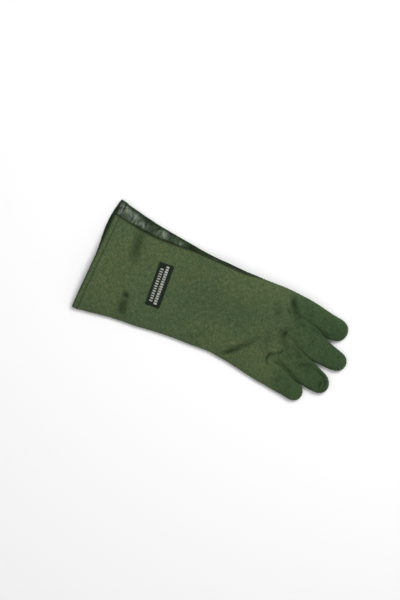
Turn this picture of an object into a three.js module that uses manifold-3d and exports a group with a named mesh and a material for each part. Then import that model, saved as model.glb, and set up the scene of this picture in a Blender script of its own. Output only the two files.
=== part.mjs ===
// A flight glove for the right hand: a fabric back and a leather palm, sewn into one long-cuffed
// glove that lies flat on its palm with the thumb tucked under it. Millimetres, +Z up, +X from the
// cuff to the fingertips, +Y towards the index finger. Every piece is a thin sewn wall, and the
// inside is hollow from the cuff's mouth to each fingertip.
import * as THREE from "three";
import { mergeVertices } from "three/addons/utils/BufferGeometryUtils.js";
import Module from "manifold-3d";

// Lengths, along X
const bodyLength = 269; // cuff's edge to the crotches between the fingers
const hemWidth = 10.5;
const indexLength = 68.5;
const middleLength = 85;
const ringLength = 77.5;
const littleLength = 51.5;
const laneLength = 85; // the stretch past the crotches that the table of finger lanes covers
const thumbRoot = 98; // cuff's edge to where the thumb's tube begins, inside the glove
const thumbLength = 172; // from there to the thumb's tip

// Widths, across the flat glove
const cuffWidth = 153.5;
const wristWidth = 115;
const handWidth = 125.5;
const handOffset = 9; // how far the hand's middle lies to the index side of the cuff's middle
const thumbWidth = 42;
const thumbOffset = 42; // the thumb's middle line, from the cuff's middle

// Heights of the flat-lying tube
const cuffHeight = 16;
const wristHeight = 11.5;
const handHeight = 13;
const fingerHeight = 11.5;
const thumbHeight = 10.5;
const edgeHeight = 4.6; // of the widest line of each section, above its underside
const edgeCurl = 6; // width of the rounded corner under each edge

// The furrows that run from the hand into the crotches
const furrowLength = 42;
const furrowWidth = 4.5; // to each side
const furrowOnBack = 3.2; // depth
const furrowOnPalm = 1.2;

// Walls and seams
const fabricWall = 1.1;
const leatherWall = 1.3;
const hemLayers = 2; // the hem is the same cloth turned in once
const seamGap = 0.3; // between the cut edges of two sewn pieces
const thumbClearance = 0.8; // between the thumb and the palm over it
const fingerClearance = 0.9; // between two fingers that lie side by side
const stripOnTop = 23.5; // leather that shows over the index side's edge at the cuff
const sideSeamUnder = 3.2; // the fingers' outer seams, below the edge
const gussetTop = 3.4; // the finger gussets' upper seams, above the edge
const gussetUnder = 3; // and their lower ones, below it

// The cuff's edge
const cuffSkew = 2.4; // how far it slants across the glove
const cuffUnderlap = 5; // how far the lower layer stands out past the upper one

// Label
const labelLength = 58;
const labelWidth = 19.5;
const labelWall = 0.8;
const labelFromCuff = 91; // to the label's middle
const labelAside = -0.8; // the label's middle, from the cuff's middle
const labelTurn = 7.2; // degrees

// Sections of the cuff and hand. `at` is a share of bodyLength. The width is the wrist's, plus
// `flare` of what the cuff is wider and `spread` of what the hand is wider. `shift` is a share of
// handOffset. The height is the wrist's, plus `mouth` of what the cuff is higher and `knuckle` of
// what the hand is higher. `strip` is the leather's edge on the upper side, as a share of
// stripOnTop, and `under` is where the leather ends on the underside, as a share of the width.
const bodySections = [
  { at: 0.0, flare: 1.0, spread: 0.0, shift: -0.06, mouth: 1.0, knuckle: 0.0, strip: 1.0, under: 0.573 },
  { at: 0.075, flare: 0.85, spread: 0.0, shift: -0.05, mouth: 0.85, knuckle: 0.0, strip: 0.94, under: 0.585 },
  { at: 0.15, flare: 0.66, spread: 0.0, shift: 0.03, mouth: 0.5, knuckle: 0.0, strip: 0.86, under: 0.592 },
  { at: 0.22, flare: 0.51, spread: 0.0, shift: 0.11, mouth: 0.2, knuckle: 0.0, strip: 0.76, under: 0.594 },
  { at: 0.34, flare: 0.35, spread: 0.0, shift: 0.28, mouth: 0.0, knuckle: 0.0, strip: 0.52, under: 0.576 },
  { at: 0.4, flare: 0.24, spread: 0.0, shift: 0.4, mouth: 0.0, knuckle: 0.05, strip: 0.37, under: 0.55 },
  { at: 0.49, flare: 0.11, spread: 0.0, shift: 0.56, mouth: 0.0, knuckle: 0.2, strip: 0.26, under: 0.42 },
  { at: 0.6, flare: 0.055, spread: 0.0, shift: 0.77, mouth: 0.0, knuckle: 0.5, strip: 0.24, under: 0.17 },
  { at: 0.69, flare: 0.0, spread: 0.0, shift: 0.98, mouth: 0.0, knuckle: 0.8, strip: 0.21, under: 0.06 },
  { at: 0.76, flare: 0.0, spread: 0.15, shift: 1.03, mouth: 0.0, knuckle: 1.0, strip: 0.06, under: 0.034 },
  { at: 0.82, flare: 0.0, spread: 0.38, shift: 1.05, mouth: 0.0, knuckle: 1.0, strip: -0.09, under: 0.028 },
  { at: 0.9, flare: 0.0, spread: 0.8, shift: 1.04, mouth: 0.0, knuckle: 0.9, strip: -0.13, under: 0.026 },
  { at: 1.0, flare: 0.0, spread: 1.0, shift: 0.94, mouth: 0.0, knuckle: 0.7, strip: -0.136, under: 0.0255 },
];

const fingers = [
  { name: "index", length: indexLength },
  { name: "middle", length: middleLength },
  { name: "ring", length: ringLength },
  { name: "little", length: littleLength },
];

// The lanes that the fingers lie in: each finger's edge on the thumb's side and on the other, as
// shares of handWidth from the hand's middle. `at` is a share of laneLength from the crotches.
const lanes = [
  { at: 0.0, index: [0.5, 0.278], middle: [0.278, 0.055], ring: [0.055, -0.22], little: [-0.22, -0.5] },
  { at: 0.2, index: [0.492, 0.267], middle: [0.267, 0.008], ring: [0.008, -0.25], little: [-0.25, -0.512] },
  { at: 0.5, index: [0.473, 0.22], middle: [0.218, -0.052], ring: [-0.055, -0.32], little: [-0.324, -0.523] },
  { at: 0.8, index: [0.463, 0.231], middle: [0.176, -0.052], ring: [-0.113, -0.342], little: [-0.352, -0.526] },
  { at: 1.0, index: [0.455, 0.235], middle: [0.162, -0.046], ring: [-0.131, -0.338], little: [-0.356, -0.526] },
];

// Sections of the thumb. `at` is a share of thumbLength, `width` of thumbWidth, `height` of
// thumbHeight, and `aside` a share of thumbWidth from its middle line.
const thumbSections = [
  { at: 0.0, width: 0.9, height: 0.8, aside: -0.05 },
  { at: 0.15, width: 0.97, height: 0.92, aside: -0.03 },
  { at: 0.35, width: 1.0, height: 1.0, aside: 0.0 },
  { at: 0.55, width: 0.97, height: 1.0, aside: 0.02 },
  { at: 0.75, width: 0.88, height: 0.97, aside: 0.0 },
  { at: 0.9, width: 0.76, height: 0.92, aside: -0.04 },
  { at: 1.0, width: 0.7, height: 0.86, aside: -0.06 },
];

// Soft folds and puckers pressed into the upper side. Each runs from one end to the other, in
// shares of bodyLength from the cuff and of handWidth to the index side, with its width and depth in mm.
const folds = [
  { fromX: 0.14, fromY: 0.37, toX: 0.17, toY: 0.1, width: 10, depth: 1.8 },
  { fromX: 0.215, fromY: -0.25, toX: 0.24, toY: -0.44, width: 7, depth: 2.0 },
  { fromX: 0.76, fromY: -0.35, toX: 0.875, toY: -0.04, width: 7, depth: 1.6 },
  { fromX: 0.95, fromY: 0.45, toX: 0.975, toY: 0.37, width: 6, depth: 1.8 },
  { fromX: 0.955, fromY: 0.14, toX: 0.985, toY: 0.1, width: 6, depth: 1.6 },
  { fromX: 0.945, fromY: -0.13, toX: 0.985, toY: -0.19, width: 7, depth: 2.0 },
];

// How finely the sewn surface is cut into facets
const backColumns = 8; // across each finger's share of the back
const palmColumns = 6; // and of the palm
const gussetColumns = 2;
const bodyRows = 22;
const fingerRows = 8;
const tipRows = 4;
const thumbColumns = 9; // across each side of the thumb
const thumbRows = 10;
const loopSteps = 160; // samples of a section, from which lengths along it are measured
const cutDetail = 0.05; // mm, the smallest detail that is kept where one solid cuts another

const clamp = (v) => Math.min(1, Math.max(0, v));
const mix = (a, b, t) => a + (b - a) * t;
const ease = (from, to, v) => {
  const t = clamp((v - from) / (to - from));
  return t * t * (3 - 2 * t);
};

// A named column of a table at a share along it, on a smooth curve through its rows.
function along(table, at, column) {
  const value = (row) => (typeof column === "string" ? row[column] : row[column[0]][column[1]]);
  let i = 0;
  while (i < table.length - 2 && table[i + 1].at < at) i += 1;
  const [a, b] = [table[i], table[i + 1]];
  const before = table[Math.max(0, i - 1)];
  const after = table[Math.min(table.length - 1, i + 2)];
  const step = b.at - a.at;
  const t = clamp((at - a.at) / step);
  const slopeA = i === 0 ? 0 : ((value(b) - value(before)) / (b.at - before.at)) * step;
  const slopeB = i === table.length - 2 ? 0 : ((value(after) - value(a)) / (after.at - a.at)) * step;
  const [t2, t3] = [t * t, t * t * t];
  const ends = (2 * t3 - 3 * t2 + 1) * value(a) + (3 * t2 - 2 * t3) * value(b);
  return ends + (t3 - 2 * t2 + t) * slopeA + (t3 - t2) * slopeB;
}

// One section of a flat-lying tube: a crowned upper side, a flat underside and round edges.
// It starts at the index side's edge and goes over the top, and `share` is the height as a share.
function sectionLoop(halfWidth, height, crown = 3) {
  const points = [];
  const edge = Math.min(edgeHeight, height * 0.45);
  const flat = 1 - Math.min(edgeCurl, halfWidth * 0.5) / halfWidth;
  for (let i = 0; i <= loopSteps; i += 1) {
    const turn = (2 * Math.PI * i) / loopSteps;
    const across = Math.cos(turn);
    const out = Math.abs(across);
    let z;
    if (i <= loopSteps / 2) z = edge + (height - edge) * Math.pow(Math.max(0, 1 - Math.pow(out, crown)), 0.5);
    else z = out <= flat ? 0 : edge * (1 - Math.sqrt(Math.max(0, 1 - Math.pow((out - flat) / (1 - flat), 2))));
    points.push({ y: across * halfWidth, z, share: z / height });
  }
  let length = 0;
  const lengths = points.map((p, i) => {
    if (i > 0) length += Math.hypot(p.y - points[i - 1].y, p.z - points[i - 1].z);
    return length;
  });
  return { points, lengths, total: length, top: lengths[loopSteps / 2] };
}

// The point of a section at a length along it.
function onLoop(loop, length) {
  const s = ((length % loop.total) + loop.total) % loop.total;
  let i = 0;
  while (i < loopSteps - 1 && loop.lengths[i + 1] < s) i += 1;
  const t = clamp((s - loop.lengths[i]) / Math.max(1e-9, loop.lengths[i + 1] - loop.lengths[i]));
  const [a, b] = [loop.points[i], loop.points[i + 1]];
  return { y: mix(a.y, b.y, t), z: mix(a.z, b.z, t), share: mix(a.share, b.share, t) };
}

const thumbTip = thumbRoot + thumbLength;
const longestFinger = Math.max(...fingers.map((f) => f.length));

function bodyShape(x) {
  const at = clamp(x / bodyLength);
  const column = (name) => along(bodySections, at, name);
  const width = wristWidth + (cuffWidth - wristWidth) * column("flare") + (handWidth - wristWidth) * column("spread");
  const height =
    wristHeight + (cuffHeight - wristHeight) * column("mouth") + (handHeight - wristHeight) * column("knuckle");
  return { width, height, middle: handOffset * column("shift"), strip: column("strip"), under: column("under") };
}

const rootShape = bodyShape(bodyLength);

// Where a finger's lane lies at a distance from the crotches: its middle and its full width.
function lane(finger, distance) {
  const at = clamp(distance / laneLength);
  const [near, far] = [along(lanes, at, [finger.name, 0]), along(lanes, at, [finger.name, 1])];
  return { middle: rootShape.middle + ((near + far) / 2) * handWidth, width: (near - far) * handWidth };
}

// The boundaries between the fingers at their roots, from the index side to the little finger's.
const rootShares = fingers.map((finger) => lane(finger, 0).width / handWidth);
const rootEdges = [rootShape.middle + rootShape.width / 2];
for (const share of rootShares) rootEdges.push(rootEdges.at(-1) - share * rootShape.width);

// How far the thumb below lifts the glove: the palm steeply at the thumb's root, the back gently.
function lifted(x, y, share) {
  const liftHeight = thumbHeight + thumbClearance;
  const inner = thumbOffset - thumbWidth / 2;
  const outside = inner - thumbWidth;
  const fall = 1 - ease(thumbTip - thumbWidth * 0.15, bodyLength + longestFinger * 0.85, x);
  const reach = (share) => thumbRoot + share * thumbLength;
  const palm = ease(reach(0.08), reach(0.255), x) * ease(outside + thumbWidth * 0.3, inner - thumbWidth * 0.05, y);
  const back = ease(reach(-0.115), reach(0.405), x) * ease(outside, thumbOffset, y);
  return liftHeight * fall * mix(palm, back, ease(0.1, 0.75, share));
}

function foldDepth(x, y) {
  let depth = 0;
  for (const fold of folds) {
    const from = [fold.fromX * bodyLength, fold.fromY * handWidth];
    const run = [fold.toX * bodyLength - from[0], fold.toY * handWidth - from[1]];
    const t = clamp(((x - from[0]) * run[0] + (y - from[1]) * run[1]) / (run[0] ** 2 + run[1] ** 2));
    const away = Math.hypot(x - from[0] - t * run[0], y - from[1] - t * run[1]);
    depth += fold.depth * Math.exp(-((away / (fold.width * 0.6)) ** 2));
  }
  return depth;
}

// A raw point of a section, at its place on the lying glove.
function place(x, y, z, share) {
  const across = (2 * y) / cuffWidth;
  const nearCuff = 1 - ease(0, bodyLength * 0.2, x);
  const lap = cuffUnderlap * (1 - ease(0.25, 0.6, share)) * Math.exp(-(((across - 0.55) / 0.35) ** 2));
  const edgeX = x - nearCuff * (cuffSkew * across + lap);
  const upper = ease(0.45, 0.8, share);
  return new THREE.Vector3(edgeX, y, z + lifted(x, y, share) - upper * foldDepth(x, y));
}

// The furrows that lead to the crotches, on the back and, shallower, on the palm.
function furrow(x, y, share) {
  const depth = ease(bodyLength - furrowLength, bodyLength, x);
  let near = 0;
  for (const edge of rootEdges.slice(1, -1)) near = Math.max(near, Math.exp(-(((y - edge) / furrowWidth) ** 2)));
  return near * depth * (share > 0.4 ? -furrowOnBack : furrowOnPalm);
}

// Lengths along a section, moved so that the nearest one lies on the section's edge.
function snapped(lengths, edge) {
  const [first, last] = [lengths[0], lengths.at(-1)];
  if (edge <= first + 1 || edge >= last - 1) return lengths;
  const inner = lengths.slice(1, -1);
  const near = inner.reduce((best, v) => (Math.abs(v - edge) < Math.abs(best - edge) ? v : best));
  const moved = (v) => {
    if (v < near) return mix(first, edge, (v - first) / (near - first));
    return mix(edge, last, (v - near) / (last - near));
  };
  return lengths.map(moved);
}

// One row of the cuff and hand: raw points along the back from seam to seam, then the palm.
function bodyRow(x) {
  const shape = bodyShape(x);
  const loop = sectionLoop(shape.width / 2, shape.height);
  const seamA = shape.strip > 0 ? shape.strip * stripOnTop : (shape.strip / 0.136) * sideSeamUnder;
  const seamB = loop.top + shape.under * shape.width;
  const point = (length) => {
    const p = onLoop(loop, length);
    const y = p.y + shape.middle;
    return { x, y, z: p.z + furrow(x, y, p.share), share: p.share };
  };
  const row = [];
  const spread = (from, to, parts, columns, edges) => {
    let lengths = [];
    let start = 0;
    for (const part of parts) {
      for (let j = 0; j < columns; j += 1) lengths.push(mix(from, to, start + (part * j) / columns));
      start += part;
    }
    lengths.push(to);
    for (const edge of edges) lengths = snapped(lengths, edge);
    for (const length of lengths.slice(0, -1)) row.push(point(length));
  };
  spread(seamA, seamB, rootShares, backColumns, [loop.top]);
  spread(seamB, loop.total + seamA, [...rootShares].reverse(), palmColumns, [loop.total]);
  return row;
}

// A sewn surface under construction: shared vertices and facets that belong to named pieces.
const surface = { points: [], facets: [] };
const addPoint = (point) => surface.points.push(point) - 1;
// Of a quad's two diagonals, the one that lies further out is folded.
const addQuad = (piece, a, b, c, d) => {
  const [p, q, r, s] = [a, b, c, d].map((i) => surface.points[i]);
  const outward = r.clone().sub(p).cross(s.clone().sub(q));
  const bulge = q.clone().add(s).sub(p).sub(r).dot(outward);
  const halves = bulge > 0 ? [[b, c, d], [b, d, a]] : [[a, b, c], [a, c, d]];
  for (const corners of halves) surface.facets.push({ piece, corners });
};

const topCount = backColumns * fingers.length;
const loopCount = topCount + palmColumns * fingers.length;

// Cuff and hand
function bodyStations() {
  const stations = [0, hemWidth * 0.5, hemWidth, hemWidth + 1];
  const first = stations.at(-1);
  for (let i = 1; i <= bodyRows; i += 1) stations.push(mix(first, bodyLength, Math.pow(i / bodyRows, 0.95)));
  return stations;
}

const rawRows = bodyStations().map(bodyRow);
const bodyGrid = rawRows.map((row) => row.map((p) => addPoint(place(p.x, p.y, p.z, p.share))));
for (let i = 0; i + 1 < bodyGrid.length; i += 1) {
  for (let j = 0; j < loopCount; j += 1) {
    const next = (j + 1) % loopCount;
    const piece = j < topCount ? "back_panel" : "palm_panel";
    addQuad(piece, bodyGrid[i][j], bodyGrid[i][next], bodyGrid[i + 1][next], bodyGrid[i + 1][j]);
  }
}

// Crotches: the upright line at which two fingers part, from the back's seam to the palm's.
const rootRow = bodyGrid.at(-1);
const rootRaw = rawRows.at(-1);
const crotchNormals = new Map();
const crotches = [];
for (let k = 1; k < fingers.length; k += 1) {
  const top = backColumns * k;
  const under = topCount + palmColumns * (fingers.length - k);
  const line = [{ id: rootRow[top], raw: rootRaw[top] }];
  for (let m = 1; m < gussetColumns; m += 1) {
    const t = m / gussetColumns;
    const raw = {};
    for (const key of ["x", "y", "z", "share"]) raw[key] = mix(rootRaw[top][key], rootRaw[under][key], t);
    line.push({ id: addPoint(place(raw.x, raw.y, raw.z, raw.share)), raw });
  }
  line.push({ id: rootRow[under], raw: rootRaw[under] });
  line.forEach((p, m) => {
    const tilt = 1 - (2 * m) / gussetColumns;
    crotchNormals.set(p.id, new THREE.Vector3(1, 0, tilt).normalize());
  });
  crotches.push(line);
}

// Fingers: each grows out of its stretch of the last body row and ends in a round tip.
fingers.forEach((finger, k) => {
  const rootMiddle = (rootEdges[k] + rootEdges[k + 1]) / 2;
  const hasRadial = k > 0;
  const hasUlnar = k < fingers.length - 1;
  const columns = []; // of the finger's loop, with the piece that each strip to the next belongs to
  const add = (id, raw, kind, part) => columns.push({ id, raw, kind, part });
  for (let j = 0; j < backColumns; j += 1) {
    const index = backColumns * k + j;
    add(rootRow[index], rootRaw[index], "back", j / backColumns);
  }
  if (hasUlnar) crotches[k].slice(0, -1).forEach((p, m) => add(p.id, p.raw, "ulnar", m / gussetColumns));
  for (let j = 0; j < palmColumns; j += 1) {
    const index = (topCount + palmColumns * (fingers.length - 1 - k) + j) % loopCount;
    add(rootRow[index], rootRaw[index], "palm", j / palmColumns);
  }
  if (hasRadial) {
    const up = [...crotches[k - 1]].reverse().slice(0, -1);
    up.forEach((p, m) => add(p.id, p.raw, "radial", m / gussetColumns));
  }

  const tipSpan = (lane(finger, finger.length * 0.8).width * 0.5) / finger.length;
  const rows = [];
  for (let i = 1; i <= fingerRows; i += 1) rows.push({ at: (i / fingerRows) * (1 - tipSpan), round: 1 });
  for (let i = 1; i < tipRows; i += 1) {
    const turn = (i / tipRows) * (Math.PI / 2);
    rows.push({ at: 1 - tipSpan + tipSpan * Math.sin(turn), round: Math.pow(Math.cos(turn), 0.85) });
  }

  const rings = [columns.map((c) => c.id)];
  const rootHalf = (rootShares[k] * rootShape.width) / 2;
  const centre = (at) => [bodyLength + finger.length * at, lane(finger, finger.length * at).middle];
  const swing = (at) => {
    const [a, b] = [centre(Math.max(0, at - 0.05)), centre(Math.min(1, at + 0.05))];
    return Math.atan2(b[1] - a[1], b[0] - a[0]) * ease(0, 0.35, at);
  };
  for (const { at, round } of rows) {
    const angle = swing(at);
    const full = ((lane(finger, finger.length * at).width - fingerClearance) / 2) * Math.cos(angle);
    const half = full * round;
    const height = mix(rootShape.height, fingerHeight, ease(0, 0.5, at)) * mix(0.42, 1, Math.pow(round, 0.8));
    const loop = sectionLoop(half, height, 2.4);
    const backFrom = (hasRadial ? gussetTop : -sideSeamUnder) * round;
    const backTo = loop.top + (hasUlnar ? -gussetTop : sideSeamUnder) * round;
    const palmFrom = loop.top + (hasUlnar ? gussetUnder : sideSeamUnder) * round;
    const palmTo = loop.total - (hasRadial ? gussetUnder : sideSeamUnder) * round;
    const spans = {
      back: [backFrom, backTo],
      ulnar: [backTo, palmFrom],
      palm: [palmFrom, palmTo],
      radial: [palmTo, loop.total + backFrom],
    };
    const own = ease(0, 0.45, at);
    const [cx, cy] = centre(at);
    rings.push(
      columns.map(({ raw, kind, part }) => {
        const p = onLoop(loop, mix(...spans[kind], part));
        const across = mix((raw.y - rootMiddle) / rootHalf, p.y / half, own) * half;
        const z = mix(raw.z, p.z, own);
        const share = mix(raw.share, p.share, own);
        return addPoint(place(cx - across * Math.sin(angle), cy + across * Math.cos(angle), z, share));
      }),
    );
  }

  const gussetOf = { ulnar: k, radial: k - 1 };
  const last = rings.length - 1;
  const pieceOf = (column, ring) => {
    if (column.kind === "back") return "back_panel";
    if (column.kind === "palm") return "palm_panel";
    if (ring < fingerRows) {
      const pair = gussetOf[column.kind];
      return `gusset_${fingers[pair].name}_${fingers[pair + 1].name}`;
    }
    const upper = column.kind === "ulnar" ? column.part < 0.5 : column.part >= 0.5;
    return upper ? "back_panel" : "palm_panel";
  };
  for (let i = 0; i < last; i += 1) {
    columns.forEach((column, j) => {
      const next = (j + 1) % columns.length;
      addQuad(pieceOf(column, i), rings[i][j], rings[i][next], rings[i + 1][next], rings[i + 1][j]);
    });
  }
  const [tipX, tipY] = centre(1);
  const tip = addPoint(place(tipX, tipY, edgeHeight * 0.8, 0.4));
  columns.forEach((column, j) => {
    const next = (j + 1) % columns.length;
    surface.facets.push({ piece: pieceOf(column, last), corners: [rings[last][j], rings[last][next], tip] });
  });
});

// Area-weighted normals of a surface, with the crotches' own where they are given.
function normalsOf({ points, facets }, given = new Map()) {
  const normals = points.map(() => new THREE.Vector3());
  for (const { corners } of facets) {
    const [a, b, c] = corners.map((i) => points[i]);
    const normal = b.clone().sub(a).cross(c.clone().sub(a));
    corners.forEach((i) => normals[i].add(normal));
  }
  normals.forEach((n, i) => (given.has(i) ? n.copy(given.get(i)) : n.normalize()));
  return normals;
}

// A closed solid from one piece of a sewn surface. Its inner side lies a wall's thickness in, and
// an edge that meets another piece is drawn back by half the seam's gap.
function pieceGeometry(sewn, normals, piece, wallAt) {
  const own = sewn.facets.filter((f) => f.piece === piece);
  const allEdges = new Set();
  for (const { corners } of sewn.facets) {
    corners.forEach((a, i) => allEdges.add(`${a}>${corners[(i + 1) % 3]}`));
  }
  const ownEdges = new Set();
  for (const { corners } of own) corners.forEach((a, i) => ownEdges.add(`${a}>${corners[(i + 1) % 3]}`));
  const rim = [];
  for (const edge of ownEdges) {
    const [a, b] = edge.split(">").map(Number);
    if (!ownEdges.has(`${b}>${a}`)) rim.push({ a, b, sewnTo: allEdges.has(`${b}>${a}`) });
  }
  const drawn = new Map();
  for (const { a, b, sewnTo } of rim) {
    if (!sewnTo) continue;
    const run = sewn.points[b].clone().sub(sewn.points[a]).normalize();
    for (const end of [a, b]) {
      const inward = normals[end].clone().cross(run).normalize();
      drawn.set(end, [...(drawn.get(end) ?? []), inward]);
    }
  }
  const outer = new Map();
  const inner = new Map();
  const positions = [];
  const vertex = (map, i, depth) => {
    if (map.has(i)) return map.get(i);
    const point = sewn.points[i].clone();
    const ways = drawn.get(i);
    if (ways) {
      const way = ways.reduce((sum, w) => sum.add(w), new THREE.Vector3());
      const mitre = ((seamGap / 2) * ways.length) / way.length();
      point.addScaledVector(way.normalize(), Math.min(mitre, seamGap * 2));
    }
    point.addScaledVector(normals[i], -depth);
    positions.push(point.x, point.y, point.z);
    map.set(i, positions.length / 3 - 1);
    return map.get(i);
  };
  const index = [];
  const out = (i) => vertex(outer, i, 0);
  const into = (i) => vertex(inner, i, wallAt(sewn.points[i]));
  for (const { corners } of own) {
    const [a, b, c] = corners;
    index.push(out(a), out(b), out(c), into(c), into(b), into(a));
  }
  for (const { a, b } of rim) index.push(out(b), out(a), into(a), out(b), into(a), into(b));
  const geometry = new THREE.BufferGeometry();
  geometry.setAttribute("position", new THREE.Float32BufferAttribute(positions, 3));
  geometry.setIndex(index);
  return geometry;
}

const wasm = await Module();
wasm.setup();

function toSolid(geometry) {
  const bare = new THREE.BufferGeometry();
  bare.setAttribute("position", geometry.getAttribute("position"));
  bare.setIndex(geometry.index);
  const merged = mergeVertices(bare, 1e-4);
  const vertProperties = new Float32Array(merged.attributes.position.array);
  const triVerts = new Uint32Array(merged.index.array);
  return new wasm.Manifold(new wasm.Mesh({ numProp: 3, vertProperties, triVerts }));
}

function toGeometry(solid) {
  const mesh = solid.getMesh();
  const positions = new Float32Array(mesh.numVert * 3);
  for (let i = 0; i < mesh.numVert; i += 1) {
    positions.set(mesh.vertProperties.subarray(i * mesh.numProp, i * mesh.numProp + 3), i * 3);
  }
  const geometry = new THREE.BufferGeometry();
  geometry.setAttribute("position", new THREE.BufferAttribute(positions, 3));
  geometry.setIndex(new THREE.BufferAttribute(mesh.triVerts, 1));
  return geometry;
}

// The largest body of a cut solid, without the loose bits and slivers that a slanted cut can leave.
function mainBody(solid) {
  const bodies = solid.decompose();
  return bodies.reduce((best, body) => (body.volume() > best.volume() ? body : best)).simplify(cutDetail);
}

// A closed volume from rings of vertices, moved out along their normals.
function ringVolume(rings, points, normals, outward) {
  const moved = (i) => points[i].clone().addScaledVector(normals[i], outward);
  const positions = rings.flat().map(moved);
  const count = rings[0].length;
  const index = [];
  for (let i = 0; i + 1 < rings.length; i += 1) {
    for (let j = 0; j < count; j += 1) {
      const next = (j + 1) % count;
      const [a, b] = [i * count + j, i * count + next];
      index.push(a, b, b + count, a, b + count, a + count);
    }
  }
  const cap = (ring, flip) => {
    const start = ring * count;
    const middle = new THREE.Vector3();
    for (let j = 0; j < count; j += 1) middle.addScaledVector(positions[start + j], 1 / count);
    const centre = positions.push(middle) - 1;
    for (let j = 0; j < count; j += 1) {
      const [a, b] = [start + j, start + ((j + 1) % count)];
      index.push(...(flip ? [b, a, centre] : [a, b, centre]));
    }
  };
  cap(0, true);
  cap(rings.length - 1, false);
  const geometry = new THREE.BufferGeometry();
  const flat = positions.flatMap((p) => [p.x, p.y, p.z]);
  geometry.setAttribute("position", new THREE.Float32BufferAttribute(flat, 3));
  geometry.setIndex(index);
  return toSolid(geometry);
}

// Thumb: a tube of its own that leaves the palm at its root and lies flat under the hand, with
// its leather front against the palm and its fabric back on the ground.
const thumb = { points: [], facets: [] };
const thumbRings = [];
{
  const tipSpan = (thumbWidth * 0.36) / thumbLength;
  const rows = [];
  for (let i = 0; i <= thumbRows; i += 1) rows.push({ at: (i / thumbRows) * (1 - tipSpan), round: 1 });
  for (let i = 1; i < tipRows; i += 1) {
    const turn = (i / tipRows) * (Math.PI / 2);
    rows.push({ at: 1 - tipSpan + tipSpan * Math.sin(turn), round: Math.pow(Math.cos(turn), 0.85) });
  }
  const columns = 2 * thumbColumns;
  const middle = (at) => thumbOffset + along(thumbSections, at, "aside") * thumbWidth;
  for (const { at, round } of rows) {
    const half = (along(thumbSections, at, "width") * thumbWidth * round) / 2;
    const height = along(thumbSections, at, "height") * thumbHeight * mix(0.42, 1, Math.pow(round, 0.8));
    const loop = sectionLoop(half, height, 2.6);
    const under = sideSeamUnder * round;
    const ring = [];
    for (let j = 0; j < columns; j += 1) {
      const top = j < thumbColumns;
      const part = (j % thumbColumns) / thumbColumns;
      const from = top ? -under : loop.top + under;
      const to = top ? loop.top + under : loop.total - under;
      const p = onLoop(loop, mix(from, to, part));
      const x = thumbRoot + thumbLength * at;
      ring.push(thumb.points.push(new THREE.Vector3(x, middle(at) + p.y, p.z)) - 1);
    }
    thumbRings.push(ring);
  }
  const pieceOf = (j) => (j < thumbColumns ? "thumb_front" : "thumb_back");
  for (let i = 0; i + 1 < thumbRings.length; i += 1) {
    for (let j = 0; j < columns; j += 1) {
      const next = (j + 1) % columns;
      const [a, b] = [thumbRings[i][j], thumbRings[i][next]];
      const [c, d] = [thumbRings[i + 1][next], thumbRings[i + 1][j]];
      thumb.facets.push({ piece: pieceOf(j), corners: [a, b, c] }, { piece: pieceOf(j), corners: [a, c, d] });
    }
  }
  const tip = thumb.points.push(new THREE.Vector3(thumbTip, middle(1), edgeHeight * 0.8)) - 1;
  const last = thumbRings.at(-1);
  last.forEach((a, j) => {
    thumb.facets.push({ piece: pieceOf(j), corners: [a, last[(j + 1) % columns], tip] });
  });
}

const normals = normalsOf(surface, crotchNormals);
const thumbNormals = normalsOf(thumb);
const hemmed = (wall) => (point) => (point.x < hemWidth + 0.5 ? wall * hemLayers : wall);

const fabric = new THREE.MeshStandardMaterial({ color: 0x4f5f3e, roughness: 0.95, metalness: 0 });
const leather = new THREE.MeshStandardMaterial({ color: 0x262d24, roughness: 0.45, metalness: 0 });
const wovenLabel = new THREE.MeshStandardMaterial({ color: 0x171b1a, roughness: 0.8, metalness: 0 });

const glove = new THREE.Group();
function addPiece(name, geometry, material) {
  const mesh = new THREE.Mesh(geometry, material);
  mesh.name = name;
  glove.add(mesh);
}

// The back and the gussets are sewn as they are, and the palm is open where the thumb leaves it.
addPiece("back_panel", pieceGeometry(surface, normals, "back_panel", hemmed(fabricWall)), fabric);
for (let k = 0; k + 1 < fingers.length; k += 1) {
  const name = `gusset_${fingers[k].name}_${fingers[k + 1].name}`;
  addPiece(name, pieceGeometry(surface, normals, name, () => fabricWall), fabric);
}
const thumbInside = ringVolume(thumbRings, thumb.points, thumbNormals, -leatherWall - seamGap);
const palm = toSolid(pieceGeometry(surface, normals, "palm_panel", hemmed(leatherWall))).subtract(thumbInside);
addPiece("palm_panel", toGeometry(mainBody(palm)), leather);

// The thumb's two sides end where they meet the hand, a seam's gap from it.
const handVolume = ringVolume(bodyGrid, surface.points, normals, seamGap);
for (const [name, wall, material] of [
  ["thumb_back", fabricWall, fabric],
  ["thumb_front", leatherWall, leather],
]) {
  const side = toSolid(pieceGeometry(thumb, thumbNormals, name, () => wall)).subtract(handVolume);
  addPiece(name, toGeometry(mainBody(side)), material);
}

// Label: a woven patch that follows the back.
function backHeight(x, y) {
  const shape = bodyShape(x);
  const out = Math.abs(y - shape.middle) / (shape.width / 2);
  const edge = Math.min(edgeHeight, shape.height * 0.45);
  const z = edge + (shape.height - edge) * Math.pow(1 - Math.pow(out, 3), 0.5);
  return place(x, y, z, z / shape.height).z;
}

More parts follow.
